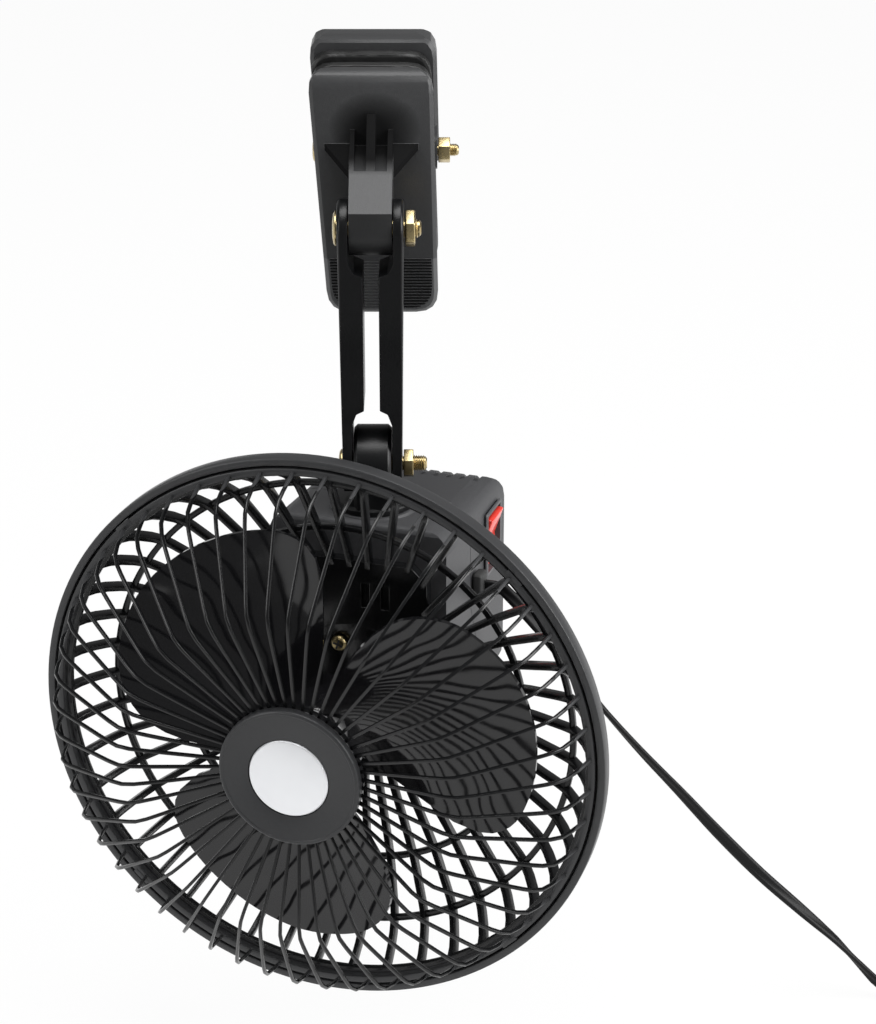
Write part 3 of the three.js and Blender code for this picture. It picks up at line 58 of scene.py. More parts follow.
# Power cord: a flat twin lead in soft black vinyl. It leaves the right wall of the head through a
# rubber gland, hangs down to the floor and is wound there in two layers of turns.
class Reading:
    """A value in a material. Arithmetic on it adds the material's Math nodes."""

    def __init__(self, finish, socket):
        self.finish = finish
        self.socket = socket

    def _math(self, operation, first, second=None):
        values = [first] if second is None else [first, second]
        return self.finish.node("ShaderNodeMath", {"operation": operation}, dict(enumerate(values)))

    def __add__(self, other):
        return self._math("ADD", self, other)

    __radd__ = __add__

    def __sub__(self, other):
        return self._math("SUBTRACT", self, other)

    def __rsub__(self, other):
        return self._math("SUBTRACT", other, self)

    def __mul__(self, other):
        return self._math("MULTIPLY", self, other)

    __rmul__ = __mul__

    def sine(self):
        return self._math("SINE", self)

    def above(self, level):
        return self._math("GREATER_THAN", self, level)

    def size(self):
        return self._math("ABSOLUTE", self)

    def lowest(self, other):
        return self._math("MINIMUM", self, other)

    def highest(self, other):
        return self._math("MAXIMUM", self, other)

    def clamped(self):
        return self.highest(0).lowest(1)


class Finish:
    """One material of the fan, with the few nodes that every finish here is built from."""

    def __init__(self, name, roughness, metallic=0.0, coat=0.0, specular=0.5):
        self.material = bpy.data.materials.new(name)
        self.material.use_nodes = True
        self.nodes = self.material.node_tree.nodes
        self.links = self.material.node_tree.links
        self.shader = self.nodes["Principled BSDF"]
        self.shader.inputs["Roughness"].default_value = roughness
        self.shader.inputs["Metallic"].default_value = metallic
        self.shader.inputs["Coat Weight"].default_value = coat
        self.shader.inputs["Coat Roughness"].default_value = 0.08
        self.shader.inputs["Specular IOR Level"].default_value = specular

    def node(self, kind, settings=None, values=None, output=0):
        """Adds a node with its settings and its values or links, and reads one of its outputs."""
        made = self.nodes.new(kind)
        for key, value in (settings or {}).items():
            setattr(made, key, value)
        for key, value in (values or {}).items():
            self.feed(made.inputs[key], value)
        return Reading(self, made.outputs[output])

    def feed(self, socket, value):
        if isinstance(value, Reading):
            self.links.new(value.socket, socket)
        elif isinstance(value, tuple) and len(value) == 3 and socket.type == "RGBA":
            socket.default_value = (*value, 1)
        else:
            socket.default_value = value

    def place(self):
        return self.node("ShaderNodeTexCoord", output=3)

    def axes(self):
        """The three coordinates of the point that is shaded, in metres."""
        place = self.place()
        return [self.node("ShaderNodeSeparateXYZ", values={0: place}, output=axis) for axis in range(3)]

    def noise(self, scale, detail=3.0, roughness=0.5):
        return self.node("ShaderNodeTexNoise", values={
            "Vector": self.place(), "Scale": scale, "Detail": detail, "Roughness": roughness})

    def blend(self, share, dark, light):
        return self.node("ShaderNodeMix", {"data_type": "RGBA"}, {0: share, 6: dark, 7: light}, output=2)

    def give(self, **sockets):
        for name, value in sockets.items():
            self.feed(self.shader.inputs[name.replace("_", " ")], value)

    def dull(self, share, colour):
        """Turns the finish to a dark matte one by a share that varies over the piece."""
        matte = self.node("ShaderNodeBsdfDiffuse", values={"Color": colour})
        mixed = self.node("ShaderNodeMixShader", values={
            0: share, 1: Reading(self, self.shader.outputs[0]), 2: matte})
        self.links.new(mixed.socket, self.nodes["Material Output"].inputs["Surface"])

    def bump(self, height, distance, strength=1.0):
        self.give(Normal=self.node("ShaderNodeBump", values={
            "Height": height, "Distance": distance, "Strength": strength}))


def cord_vinyl():
    finish = Finish("cord_vinyl", 0.42, specular=0.25)
    broad = finish.noise(60, 2)
    grain = finish.noise(2600, 2)
    finish.give(Base_Color=finish.blend(broad, (0.0015, 0.0015, 0.0017), (0.004, 0.004, 0.0045)),
                Roughness=0.4 + 0.16 * broad)
    finish.bump(grain, 0.00003)
    return finish.material


weld = 0.000001


def settle(bm, name, body, material, replaced=(), sharp=26):
    """Turns a finished bmesh into a piece of the fan that rides on a body. Edges under the sharp angle,
    in degrees, are shaded smooth, and round a broad flat face only those that hardly bend."""
    broad_area, broad_bend = 0.0002, 2
    bmesh.ops.remove_doubles(bm, verts=bm.verts, dist=weld)
    bmesh.ops.recalc_face_normals(bm, faces=bm.faces)
    for edge in bm.edges:
        angle = math.degrees(edge.calc_face_angle(math.pi))
        broad = max((face.calc_area() for face in edge.link_faces), default=0) > broad_area
        bends = angle >= sharp or (broad and angle > broad_bend)
        edge.smooth = len(edge.link_faces) == 2 and not bends
    for face in bm.faces:
        face.smooth = True
    mesh = bpy.data.meshes.new(name)
    bm.to_mesh(mesh)
    bm.free()
    mesh.materials.append(material)
    piece = bpy.data.objects.new(name, mesh)
    bpy.context.collection.objects.link(piece)
    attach(piece, body)
    if replaced:
        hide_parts(*replaced)
    return piece


def along(points, ups, section):
    """A closed tube: a prism of one section a station, bent so that each end of a length lies on its
    point. The section's first axis lies across the path and square to that point's up direction."""
    bm = bmesh.new()
    ring = [bm.verts.new((x, y, 0)) for x, y in section]
    bottom = bm.faces.new(ring)
    top = bottom
    for station in range(1, len(points)):
        grown = bmesh.ops.extrude_face_region(bm, geom=[top], use_keep_orig=station == 1)["geom"]
        corners = [part for part in grown if isinstance(part, bmesh.types.BMVert)]
        bmesh.ops.translate(bm, verts=corners, vec=(0, 0, 1))
        if station > 1:
            bmesh.ops.delete(bm, geom=[top] if top.is_valid else [], context="FACES_ONLY")
        top = next(part for part in grown if isinstance(part, bmesh.types.BMFace))
    for vert in bm.verts:
        i = round(vert.co.z)
        ahead = points[min(i + 1, len(points) - 1)] - points[max(i - 1, 0)]
        across = ahead.cross(ups[i]).normalized()
        over = across.cross(ahead).normalized()
        vert.co = points[i] + across * vert.co.x + over * vert.co.y
    return bm


def hermite(first, lead, second, trail, t):
    """The point at a share t of the curve between two points with their directions."""
    return (first * (2 * t ** 3 - 3 * t ** 2 + 1) + lead * (t ** 3 - 2 * t ** 2 + t)
            + second * (3 * t ** 2 - 2 * t ** 3) + trail * (t ** 3 - t ** 2))


def through(points, step):
    """A smooth path through given points, with a station about every step."""
    tension = 0.92
    path = [points[0]]
    for i in range(len(points) - 1):
        before = points[max(i - 1, 0)]
        first, second = points[i], points[i + 1]
        after = points[min(i + 2, len(points) - 1)]
        run = (second - first).length
        lead = (second - before) * (run / max((second - before).length, 1e-9)) * tension
        trail = (after - first) * (run / max((after - first).length, 1e-9)) * tension
        pieces = max(1, round(run / step))
        path += [hermite(first, lead, second, trail, k / pieces) for k in range(1, pieces + 1)]
    return path


ground = -0.303
floor_gap, lead_rise = 0.0012, 0.0014
cord_low = ground + floor_gap + lead_rise
hung = [Vector(p) * MM for p in (
    (35.2, -29.2, -154), (38.1, -30.15, -154), (41, -31.1, -154.6), (44.4, -32.2, -157.8),
    (48, -33.3, -161.8), (52.8, -34.2, -167.6), (62, -35.2, -179.8), (72.1, -36, -193.2),
    (85.4, -36, -209.6), (99, -36, -225.1), (111.6, -36, -239.8), (126.6, -36, -256.1),
    (142.3, -36, -271.2), (153.5, -36, -282), (162, -36.2, -291.5), (169.5, -37.5, -298.8),
    (178, -41.5, -300.4), (187, -47.5, -300.4), (196.5, -54.5, -300.4), (205.5, -59, -300.4),
    (214, -60, -300.4), (219.7, -60, -300.4))]
station_gap = 0.004
cord_path = through(hung, station_gap)
# The lead twists as it hangs: degrees about its own line at each of the points above, from the head's
# front-to-back line
head_line = Vector((0.3288, 1, 0))
lead_twist = [-180, -180, -168, -150, -132, -114, -90, -64, -42, -18, 8, 32, 62, 100, 136, 172, 208,
              236, 256] + [270] * 3
cord_ups = []
travelled = [0]
for a, b in zip(hung, hung[1:]):
    travelled.append(travelled[-1] + (b - a).length)
reach = 0
for i, here in enumerate(cord_path):
    reach += (here - cord_path[max(i - 1, 0)]).length
    k = max(j for j in range(len(hung) - 1) if travelled[j] <= min(reach, travelled[-1] * 0.999))
    share = min((reach - travelled[k]) / (travelled[k + 1] - travelled[k]), 1)
    degrees = lead_twist[k] + (lead_twist[k + 1] - lead_twist[k]) * share
    ahead = (cord_path[min(i + 1, len(cord_path) - 1)] - cord_path[max(i - 1, 0)]).normalized()
    level = (head_line - ahead * head_line.dot(ahead)).normalized()
    cord_ups.append(Matrix.Rotation(math.radians(-degrees), 3, ahead) @ level)
coil_middle = Vector((0.226, -0.022, 0))
coil_radius, coil_pitch, coil_turns, coil_rise = 0.038, 0.0064, 2.25, 0.0034
cross_over = 0.5
turn_steps = 40


def eased(share):
    share = min(max(share, 0), 1)
    return share * share * (3 - 2 * share)


for i in range(round((2 * coil_turns + cross_over) * turn_steps) + 1):
    turns = i / turn_steps
    past = turns - coil_turns
    inward = min(turns, coil_turns) - max(past - cross_over, 0)
    dip = (min(max(past / cross_over + 1, 0), 1) - min(max(past / cross_over - 1, 0), 1)) / 2
    radius = coil_radius - coil_pitch * (inward + dip)
    angle = turns * math.tau - math.pi / 2
    cord_path.append(coil_middle + Vector((radius * math.cos(angle), radius * math.sin(angle),
                                           cord_low + coil_rise * eased(past / cross_over))))
    cord_ups.append(Vector((0, 0, 1)))
coil_end = cord_path[-1].copy()
plug_height = ground + 0.0106
plug_lead, lead_steps = 0.032, 12
for i in range(1, lead_steps + 1):
    share = i / lead_steps
    cord_path.append(coil_end + Vector((plug_lead * share, 0,
                                        (plug_height - coil_end.z) * eased(share))))
    cord_ups.append(Vector((0, 0, 1)))
# Its section is a flat oval with a groove along the middle of both sides
lobe_steps = 18
cord_half_wide, cord_half_thick = 2.1 * MM, 1.15 * MM
groove_depth, groove_wide = 0.5, 0.0006
lobes = []
for k in range(lobe_steps):
    turn = math.tau * (k + 0.5) / lobe_steps
    wide = cord_half_wide * math.cos(turn)
    waist = 1 - groove_depth * math.exp(-(wide / groove_wide) ** 2)
    lobes.append((wide, cord_half_thick * math.sin(turn) * waist))
vinyl = cord_vinyl()
cord = settle(along(cord_path, cord_ups, lobes), "power_cord", "head", vinyl,
              ("cord_lead", "cord_coil"), sharp=60)


# Lighter plug: a black turned body with a ribbed grip, a sprung steel tip in its nose and two sprung
# side contacts. It lies on the floor beside the wound cord.
def moulded_black(name, colour, roughness, grain_height=0.00005, specular=0.4):
    finish = Finish(name, roughness, specular=specular)
    broad = finish.noise(22, 3)
    speck = finish.noise(900, 3, 0.6)
    grain = finish.noise(3200, 2)
    tone = 0.55 * broad + 0.45 * speck
    low = tuple(c * 0.75 for c in colour)
    high = tuple(c * 1.35 for c in colour)
    finish.give(Base_Color=finish.blend(tone, low, high), Roughness=roughness - 0.07 + 0.16 * broad)
    finish.bump(grain * 0.7 + speck * 0.3, grain_height)
    return finish.material


def steel(name, colour, roughness):
    finish = Finish(name, roughness, metallic=1.0)
    broad = finish.noise(260, 3)
    fine = finish.noise(5200, 2)
    low = tuple(c * 0.8 for c in colour)
    finish.give(Base_Color=finish.blend(broad, low, colour), Roughness=roughness - 0.05 + 0.14 * broad)
    finish.bump(fine, 0.00001)
    return finish.material


def turned(profile, place, steps=72, closed=True, round_by=0.0, segments=2):
    """A ring or a solid of revolution about the Y axis of a place, from points of (radius, y) in mm.
    A profile that starts and ends on the axis is left open there."""
    ridge_bend = 0.6
    bm = bmesh.new()
    corners = [bm.verts.new((r * MM, y * MM, 0)) for r, y in profile]
    for a, b in zip(corners, corners[1:]):
        bm.edges.new((a, b))
    if closed:
        bm.edges.new((corners[-1], corners[0]))
    bmesh.ops.spin(bm, geom=bm.verts[:] + bm.edges[:], cent=(0, 0, 0), axis=(0, 1, 0),
                   angle=math.tau, steps=steps, use_merge=True)
    bmesh.ops.remove_doubles(bm, verts=bm.verts, dist=weld)
    bmesh.ops.recalc_face_normals(bm, faces=bm.faces)
    if round_by:
        ridges = [e for e in bm.edges if len(e.link_faces) == 2 and e.calc_face_angle(0) > ridge_bend]
        bmesh.ops.bevel(bm, geom=ridges, offset=round_by * MM, segments=segments, affect="EDGES",
                        profile=0.5, material=-1, clamp_overlap=True)
    bmesh.ops.transform(bm, matrix=place, verts=bm.verts)
    return bm


def refined(node, round_by, segments=2, angle=40, rounds=None):
    """A merged copy of a CAD node's mesh in flat facets, its hard edges rounded where rounds says so."""
    cad_gap, flat_bend = 0.00002, math.radians(0.6)
    bm = bmesh.new()
    bm.from_mesh(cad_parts[node].data)
    bmesh.ops.remove_doubles(bm, verts=bm.verts, dist=cad_gap)
    bmesh.ops.dissolve_limit(bm, angle_limit=flat_bend, verts=bm.verts, edges=bm.edges)
    bmesh.ops.recalc_face_normals(bm, faces=bm.faces)
    if round_by:
        hard = [e for e in bm.edges if len(e.link_faces) == 2
                and e.calc_face_angle(0) > math.radians(angle)
                and (rounds is None or rounds((e.verts[0].co + e.verts[1].co) / 2 / MM))]
        bmesh.ops.bevel(bm, geom=hard, offset=round_by * MM, segments=segments, affect="EDGES",
                        profile=0.5, material=-1, clamp_overlap=True)
    return bm


plug_black = moulded_black("plug_plastic", (0.022, 0.022, 0.024), 0.38)
bare_steel = steel("bare_steel", (0.62, 0.62, 0.64), 0.3)
plug_start = cord_path[-1] + Vector((0.0003, 0, 0))
along_x = Matrix.Translation(plug_start) @ Matrix.Rotation(math.radians(-90), 4, "Z")
boot_rings, boot_pitch, boot_taper = 6, 2, 0.15
grip_rings, grip_pitch = 7, 3
plug_profile = [(0, 0), (3.5, 0)]
for i in range(boot_rings):
    plug_profile += [(r + boot_taper * i, along_y + i * boot_pitch)
                     for r, along_y in ((3.7, 1.2), (3.3, 1.7), (3.3, 2.5), (3.8, 3))]
plug_profile += [(7.5, 14), (10.2, 19)]
for i in range(grip_rings):
    plug_profile += [(r, along_y + i * grip_pitch)
                     for r, along_y in ((10.3, 21), (9.7, 21.5), (9.7, 22.6), (10.3, 23.1))]
plug_profile += [(10.3, 45), (8.8, 48), (8.8, 72), (7.3, 74), (3.6, 74), (3.6, 70), (0, 70)]
plug = settle(turned(plug_profile, along_x, 56, closed=False), "lighter_plug", "head",
              plug_black, ("plug_body",))
tip_profile = [(0, 70.3), (3.3, 70.3), (3.3, 75.5), (2.8, 76.6), (1.8, 77.6), (0, 78)]
tip = settle(turned(tip_profile, along_x, 32, closed=False), "lighter_plug_tip", "head",
             bare_steel, ("plug_tip",))
contacts = [settle(refined(f"plug_contact_{side}", 0.4, 3), f"plug_spring_{side}", "head",
                   bare_steel, (f"plug_contact_{side}",)) for side in ("front", "back")]
strap = settle(refined("cord_tie", 0.25), "cord_strap", "head",
               moulded_black("strap_rubber", (0.03, 0.03, 0.03), 0.6), ("cord_tie",))


# Clip: two black moulded jaws, each one plate with a ribbed handle. The front jaw carries the arm's
# lug on its face; the rear jaw swings on a bolt between the ears.
def jaw_moulding():
    """Satin black, worn a little greyer on the broad faces. Shade is painted in, dark and matte, round
    the lug's root, on the gussets, between its ribs and on the lug's flat lower end."""
    face_y, lug_half_wide, slope_top_z, blunt_z, grip_z = -0.0131, 0.0067, -0.0202, 0.0287, 0.0508
    root_x, root_z, root_spread, inside_y = 0.001, -0.0095, 8500, 0.004
    finish = Finish("jaw_plastic", 0.4, specular=0.35)
    x, y, z = finish.axes()
    # Masks of painted shade in front of the jaw's face: the gussets, the recess between the ribs, the lug's
    # lower end and a ring round its root
    lug = ((face_y - y) * 9000).clamped()
    wing_shade = lug * x.size().above(lug_half_wide)
    hollow_shade = lug * ((z - slope_top_z) * 260).clamped()
    grip = (z * -1).above(grip_z)
    blunt_end_shade = lug * (z * -1).above(blunt_z) * 0.6
    ring = ((x - root_x) * (x - root_x) * 0.6 + (z - root_z) * (z - root_z)) * root_spread
    shade = (1 - ring).clamped() * (y * -1).above(inside_y) * 0.8
    dark = wing_shade.highest(hollow_shade).highest(blunt_end_shade).highest(shade).lowest(0.94)
    broad = finish.noise(22, 3)
    speck = finish.noise(900, 3, 0.6)
    grain = finish.noise(3200, 2)
    worn = finish.blend(0.55 * broad + 0.45 * speck, (0.026, 0.0265, 0.0275), (0.052, 0.0525, 0.054))
    worn = finish.blend(grip, worn, (0.085, 0.086, 0.088))
    # The near-black colour here is painted shade over those masks
    finish.give(Base_Color=finish.blend(dark, worn, (0.0015, 0.0015, 0.0016)),
                Roughness=0.3 + 0.16 * broad + 0.12 * dark)
    finish.bump(grain * 0.7 + speck * 0.3, 0.00006)
    # Painted shade also turns the gussets, the recess and the root's ring dark and matte
    finish.dull(wing_shade.highest(hollow_shade).highest(shade) * 0.92, (0.006, 0.006, 0.0062))
    return finish.material


# The grips' fine ribs stay sharp, and so do the rear jaw's inner corners by the pivot
jaw_plastic = jaw_moulding()
grip_top, grip_front = -49, -12.9
settle(refined("clip_front_jaw", 0.7, rounds=lambda p: p.z > grip_top or p.y > grip_front), "front_jaw",
       "clip", jaw_plastic, ("clip_front_jaw",))
settle(refined("clip_rear_jaw", 0.7, rounds=lambda p: p.z > grip_top
               and not (-33 < p.z < -13 and p.y < 9)), "rear_jaw", "rear_jaw", jaw_plastic,
       ("clip_rear_jaw",))


# Grip pads: blocks of soft black rubber glued inside the jaws. They are moulded in layers, whose
# wandering lines run across.
def pad_rubber():
    finish = Finish("pad_rubber", 0.45, specular=0.4)
    layer = 0.0016
    depth = finish.axes()[1]
    wander = finish.noise(110, 3)
    lines = (depth * (math.tau / layer) + wander * 7).sine()
    broad = finish.noise(90, 3)
    fine = finish.noise(2400, 2)
    finish.give(Base_Color=finish.blend(broad, (0.003, 0.003, 0.003), (0.012, 0.012, 0.012)),
                Roughness=0.25 + 0.4 * broad)
    finish.bump(lines * 0.6 + wander * 0.8 + fine * 0.1, 0.0003)
    return finish.material


rubber = pad_rubber()
settle(refined("clip_front_pad", 0.4), "front_pad", "clip", rubber, ("clip_front_pad",))
settle(refined("clip_rear_pad", 0.4), "rear_pad", "rear_jaw", rubber, ("clip_rear_pad",))

# Clip spring: round steel wire wound about the pivot bolt in four and a half turns. A leg runs down
# into each handle's pocket and pushes the handles apart. Lengths are in mm.
half_wide, coil_mean, wire = 4.4, 4.2, 0.8
splay = math.radians(24)
pivot_z = -20
leg_z = pivot_z - 25
bend_z, pocket, jaw_inside, leg_clear = -25.6, 3.6, 7, 1.1
rear_leg = ((bend_z - leg_z) * math.tan(splay) + pocket / math.cos(splay) + jaw_inside
            - leg_clear / math.cos(splay))
leg_drop, front_leg, leg_start = 7, -9.5, 4.6
spring_steps, wire_steps = 20, 10
spring_stations = round(4.5 * spring_steps)
spring = [(-half_wide, front_leg, leg_z), (-half_wide, -leg_start, pivot_z - leg_drop)]
for i in range(spring_stations + 1):
    turn = math.pi + i / spring_steps * math.tau
    spring.append((-half_wide + 2 * half_wide * i / spring_stations, coil_mean * math.cos(turn),
                   pivot_z - coil_mean * math.sin(turn)))
spring += [(half_wide, leg_start, pivot_z - leg_drop), (half_wide, rear_leg, leg_z)]
spring = [Vector(p) * MM for p in spring]
wire_ring = [(wire * MM * math.cos(math.tau * k / wire_steps),
              wire * MM * math.sin(math.tau * k / wire_steps)) for k in range(wire_steps)]
settle(along(spring, [Vector((1, 0, 0))] * len(spring), wire_ring), "torsion_spring", "clip",
       bare_steel, ("clip_spring",), sharp=60)


# Bolts and nuts: steel with a yellow zinc finish. Each bolt has a low domed head on the left, and its
# thread shows past the nut on the right.
def yellow_zinc():
    finish = Finish("yellow_zinc", 0.26, metallic=1.0)
    broad = finish.noise(420, 3)
    tint = finish.noise(150, 2)
    fine = finish.noise(5200, 2)
    colour = finish.blend(tint, (0.3, 0.22, 0.09), (0.72, 0.6, 0.34))
    finish.give(Base_Color=colour, Roughness=0.16 + 0.26 * broad)
    finish.bump(fine, 0.00002)
    return finish.material


def threaded(radius, head_radius, head, start, end, thread_from, y, z):
    """A bolt along X, in mm: a domed head before its start, a plain shank and a rolled thread."""
    ridge_steps = 20
    place = Matrix.Translation(Vector((start, y, z)) * MM) @ Matrix.Rotation(math.radians(-90), 4, "Z")
    long = end - start
    bm = turned([(0, -head), (head_radius * 0.55, -head), (head_radius * 0.86, -head * 0.75),
                 (head_radius, -head * 0.3), (head_radius, 0), (radius * 0.97, 0),
                 (radius * 0.97, thread_from - start), (radius * 0.84, thread_from - start),
                 (radius * 0.84, long - 0.5), (radius * 0.6, long), (0, long)],
                Matrix.Identity(4), 40, closed=False)
    pitch = radius * 0.28
    turns = (long - 0.4 - (thread_from - start)) / pitch
    ridge = bmesh.new()
    first = thread_from - start + pitch * 0.4
    corners = [ridge.verts.new((r * MM, (first + dy * pitch) * MM, 0)) for r, dy in
               ((radius * 0.82, -0.46), (radius * 0.985, -0.06), (radius * 0.985, 0.06),
                (radius * 0.82, 0.46))]
    ridge.faces.new(corners)
    steps = round((turns - 1) * ridge_steps)
    bmesh.ops.spin(ridge, geom=ridge.verts[:] + ridge.edges[:] + ridge.faces[:], cent=(0, 0, 0),
                   axis=(0, 1, 0), dvec=(0, pitch * MM / ridge_steps, 0), angle=(turns - 1) * math.tau,
                   steps=steps)
    loose = bpy.data.meshes.new("thread")
    ridge.to_mesh(loose)
    ridge.free()
    bm.from_mesh(loose)
    bmesh.ops.transform(bm, matrix=place, verts=bm.verts)
    return bm


zinc = yellow_zinc()
settle(threaded(radius=2, head_radius=3.8, head=1.2, start=-17.2, end=26.5, thread_from=19.9, y=0,
                z=pivot_z), "pivot_bolt", "clip", zinc, ("clip_pivot_bolt",))
settle(refined("clip_pivot_nut", 0.35, 3), "pivot_nut", "clip", zinc, ("clip_pivot_nut",))

# Arm: two matching bars moulded in black, thinned at both ends into forks that the bolts squeeze
# onto the clip's lug above and the neck's lug below.
arm_y, upper_z, lower_z = -31, -35.4, -111.2
arm_plastic = moulded_black("arm_plastic", (0.004, 0.0042, 0.0046), 0.3, 0.00005, 0.3)
for side in ("left", "right"):
    settle(refined(f"arm_{side}_plate", 0.45), f"arm_bar_{side}", "arm", arm_plastic,
           (f"arm_{side}_plate",))
settle(threaded(radius=3, head_radius=5.3, head=1.1, start=-10.3, end=15.1, thread_from=10, y=arm_y,
                z=upper_z), "upper_bolt", "arm", zinc, ("arm_upper_bolt",))
settle(threaded(radius=2.5, head_radius=4.4, head=1.1, start=-9.5, end=16.7, thread_from=9.2, y=arm_y,
                z=lower_z), "lower_bolt", "arm", zinc, ("arm_lower_bolt",))
for which in ("upper", "lower"):
    settle(refined(f"arm_{which}_nut", 0.45, 3), f"{which}_nut", "arm", zinc,
           (f"arm_{which}_nut",))

# Neck: a black lug on a round flange. Its post turns in the housing's top and carries a steel washer
# and the lever that the swing drive pushes on.
settle(refined("neck_lug", 0.4), "neck", "neck", arm_plastic, ("neck_lug",))
for node, name, round_by in (("swivel_washer", "post_washer", 0.2), ("swing_lever", "lever", 0.25),
                             ("lever_screw", "lever_fixing", 0.2)):
    settle(refined(node, round_by), name, "neck", bare_steel, (node,))

# Rear guard: one black moulding. A channelled rim carries 45 curved ribs tied by two rings, which end
# on a square-topped plate that is screwed to the motor.
yaw = math.radians(-18.2)
swing_y, axis_z = -0.031, -0.18
neck_place = Matrix.Translation((0, swing_y, axis_z)) @ Matrix.Rotation(yaw, 4, "Z")
fan_place = neck_place @ Matrix.Translation((0, -0.0527, 0))


def between(table, x):
    """A smooth curve through a table of (x, y)."""
    points = [Vector((a, b, 0)) for a, b in table]
    i = max(k for k in range(len(points) - 1) if points[k].x <= x or k == 0)
    before, first = points[max(i - 1, 0)], points[i]
    second, after = points[i + 1], points[min(i + 2, len(points) - 1)]
    t = (x - first.x) / (second.x - first.x)
    run = second.x - first.x
    lead = (second.y - before.y) / (second.x - before.x) * run
    trail = (after.y - first.y) / (after.x - first.x) * run
    return hermite(first.y, lead, second.y, trail, t)


def bars(path_at, thickness, width, count, phase, round_by):
    """Bars round the fan's axis. Each follows the points of (radius, y) in mm of its own angle."""
    station_gap, ridge_bend = 3.4, 1
    whole = bmesh.new()
    for k in range(count):
        angle = phase + k / count * math.tau
        line = through([Vector((r, b, 0)) for r, b in path_at(angle)], station_gap)
        left, right = [], []
        for i, here in enumerate(line):
            run = (line[min(i + 1, len(line) - 1)] - line[max(i - 1, 0)]).normalized()
            side = Vector((-run.y, run.x, 0)) * thickness / 2
            left.append(here + side)
            right.insert(0, here - side)
        bm = bmesh.new()
        flank = bm.faces.new([bm.verts.new((p - Vector((0, 0, width / 2))) * MM) for p in left + right])
        grown = bmesh.ops.extrude_face_region(bm, geom=[flank], use_keep_orig=True)["geom"]
        bmesh.ops.translate(bm, verts=[p for p in grown if isinstance(p, bmesh.types.BMVert)],
                            vec=(0, 0, width * MM))
        bmesh.ops.recalc_face_normals(bm, faces=bm.faces)
        ridges = [e for e in bm.edges if len(e.link_faces) == 2 and e.calc_face_angle(0) > ridge_bend]
        bmesh.ops.bevel(bm, geom=ridges, offset=round_by * MM, segments=2, affect="EDGES", profile=0.5,
                        material=-1, clamp_overlap=True)
        bmesh.ops.rotate(bm, cent=(0, 0, 0), verts=bm.verts, matrix=Matrix.Rotation(-angle, 3, "Y"))
        loose = bpy.data.meshes.new("bar")
        bm.to_mesh(loose)
        bm.free()
        whole.from_mesh(loose)
    return whole


def joined(*parts):
    """Several closed forms of one moulding, in one mesh."""
    whole = parts[0]
    for part in parts[1:]:
        loose = bpy.data.meshes.new("part")
        part.to_mesh(loose)
        part.free()
        whole.from_mesh(loose)
    return whole


def guard_plastic(name, low, high):
    """Glossy black between two tones, with painted light that greys its outer edge."""
    finish = Finish(name, 0.26, specular=0.4)
    broad = finish.noise(30, 3)
    speck = finish.noise(1400, 2)
    x, y, z = finish.axes()
    rim_inside = 0.0841
    sideways = math.cos(yaw) * x + math.sin(yaw) * (y - swing_y)
    # Painted light: beyond this radius the colour is drawn greyer, as if lit
    rim_light = (sideways * sideways + (z - axis_z) * (z - axis_z)).above(rim_inside ** 2)
    plain = finish.blend(broad, low, high)
    finish.give(Base_Color=finish.blend(rim_light, plain, (0.034, 0.0345, 0.036)),
                Roughness=0.17 + 0.14 * broad + 0.1 * rim_light)
    finish.bump(speck, 0.00003)
    return finish.material


rear_black = guard_plastic("rear_guard_plastic", (0.003, 0.0031, 0.0035), (0.01, 0.0103, 0.011))
plate_radius, plate_half_wide, plate_top, plate_corner = 30, 24, 44, 19


def rib_path(angle):
    """A rear rib's line at one angle, from the rim to the edge of the plate."""
    across, upward = abs(math.cos(angle)), math.sin(angle)
    reach = plate_radius
    if upward > 0:
        reach = max(plate_radius, min(plate_half_wide / max(across, 0.01), plate_top / upward,
                                      (plate_top + plate_corner) / (across + upward)))
    return [(84.6, 4.4), (83.4, 8), (81, 12.4), (78.2, 16.3), (74.8, 19.9), (66, 24.2), (57.1, 28),
            (57.1 - (59 - reach) / 2, 31.4), (reach - 2, 34.6)]


def slab(outline, holes, front, back, round_by):
    """A flat plate of a given outline of (x, z) in mm, pierced by other outlines. The edges of its
    front face are rounded."""
    ridge_bend, ahead_of = 1.2, (front + 0.1) * MM
    bm = bmesh.new()
    edges = []
    for loop in [outline, *holes]:
        corners = [bm.verts.new((x * MM, back * MM, z * MM)) for x, z in loop]
        edges += [bm.edges.new((corners[i - 1], corners[i])) for i in range(len(corners))]
    bmesh.ops.triangle_fill(bm, use_beauty=True, use_dissolve=False, edges=edges)
    grown = bmesh.ops.extrude_face_region(bm, geom=bm.faces[:], use_keep_orig=True)["geom"]
    bmesh.ops.translate(bm, verts=[p for p in grown if isinstance(p, bmesh.types.BMVert)],
                        vec=(0, (front - back) * MM, 0))
    bmesh.ops.recalc_face_normals(bm, faces=bm.faces)
    ridges = [e for e in bm.edges if e.calc_face_angle(0) > ridge_bend
              and e.verts[0].co.y < ahead_of and e.verts[1].co.y < ahead_of]
    bmesh.ops.bevel(bm, geom=ridges, offset=round_by * MM, segments=2, affect="EDGES", profile=0.5,
                    material=-1, clamp_overlap=True)
    return bm


def circle(radius, x=0, z=0, steps=40):
    return [(x + radius * math.cos(math.tau * k / steps), z + radius * math.sin(math.tau * k / steps))
            for k in range(steps)]


def box_outline(left, right, low, high):
    return [(left, low), (right, low), (right, high), (left, high)]


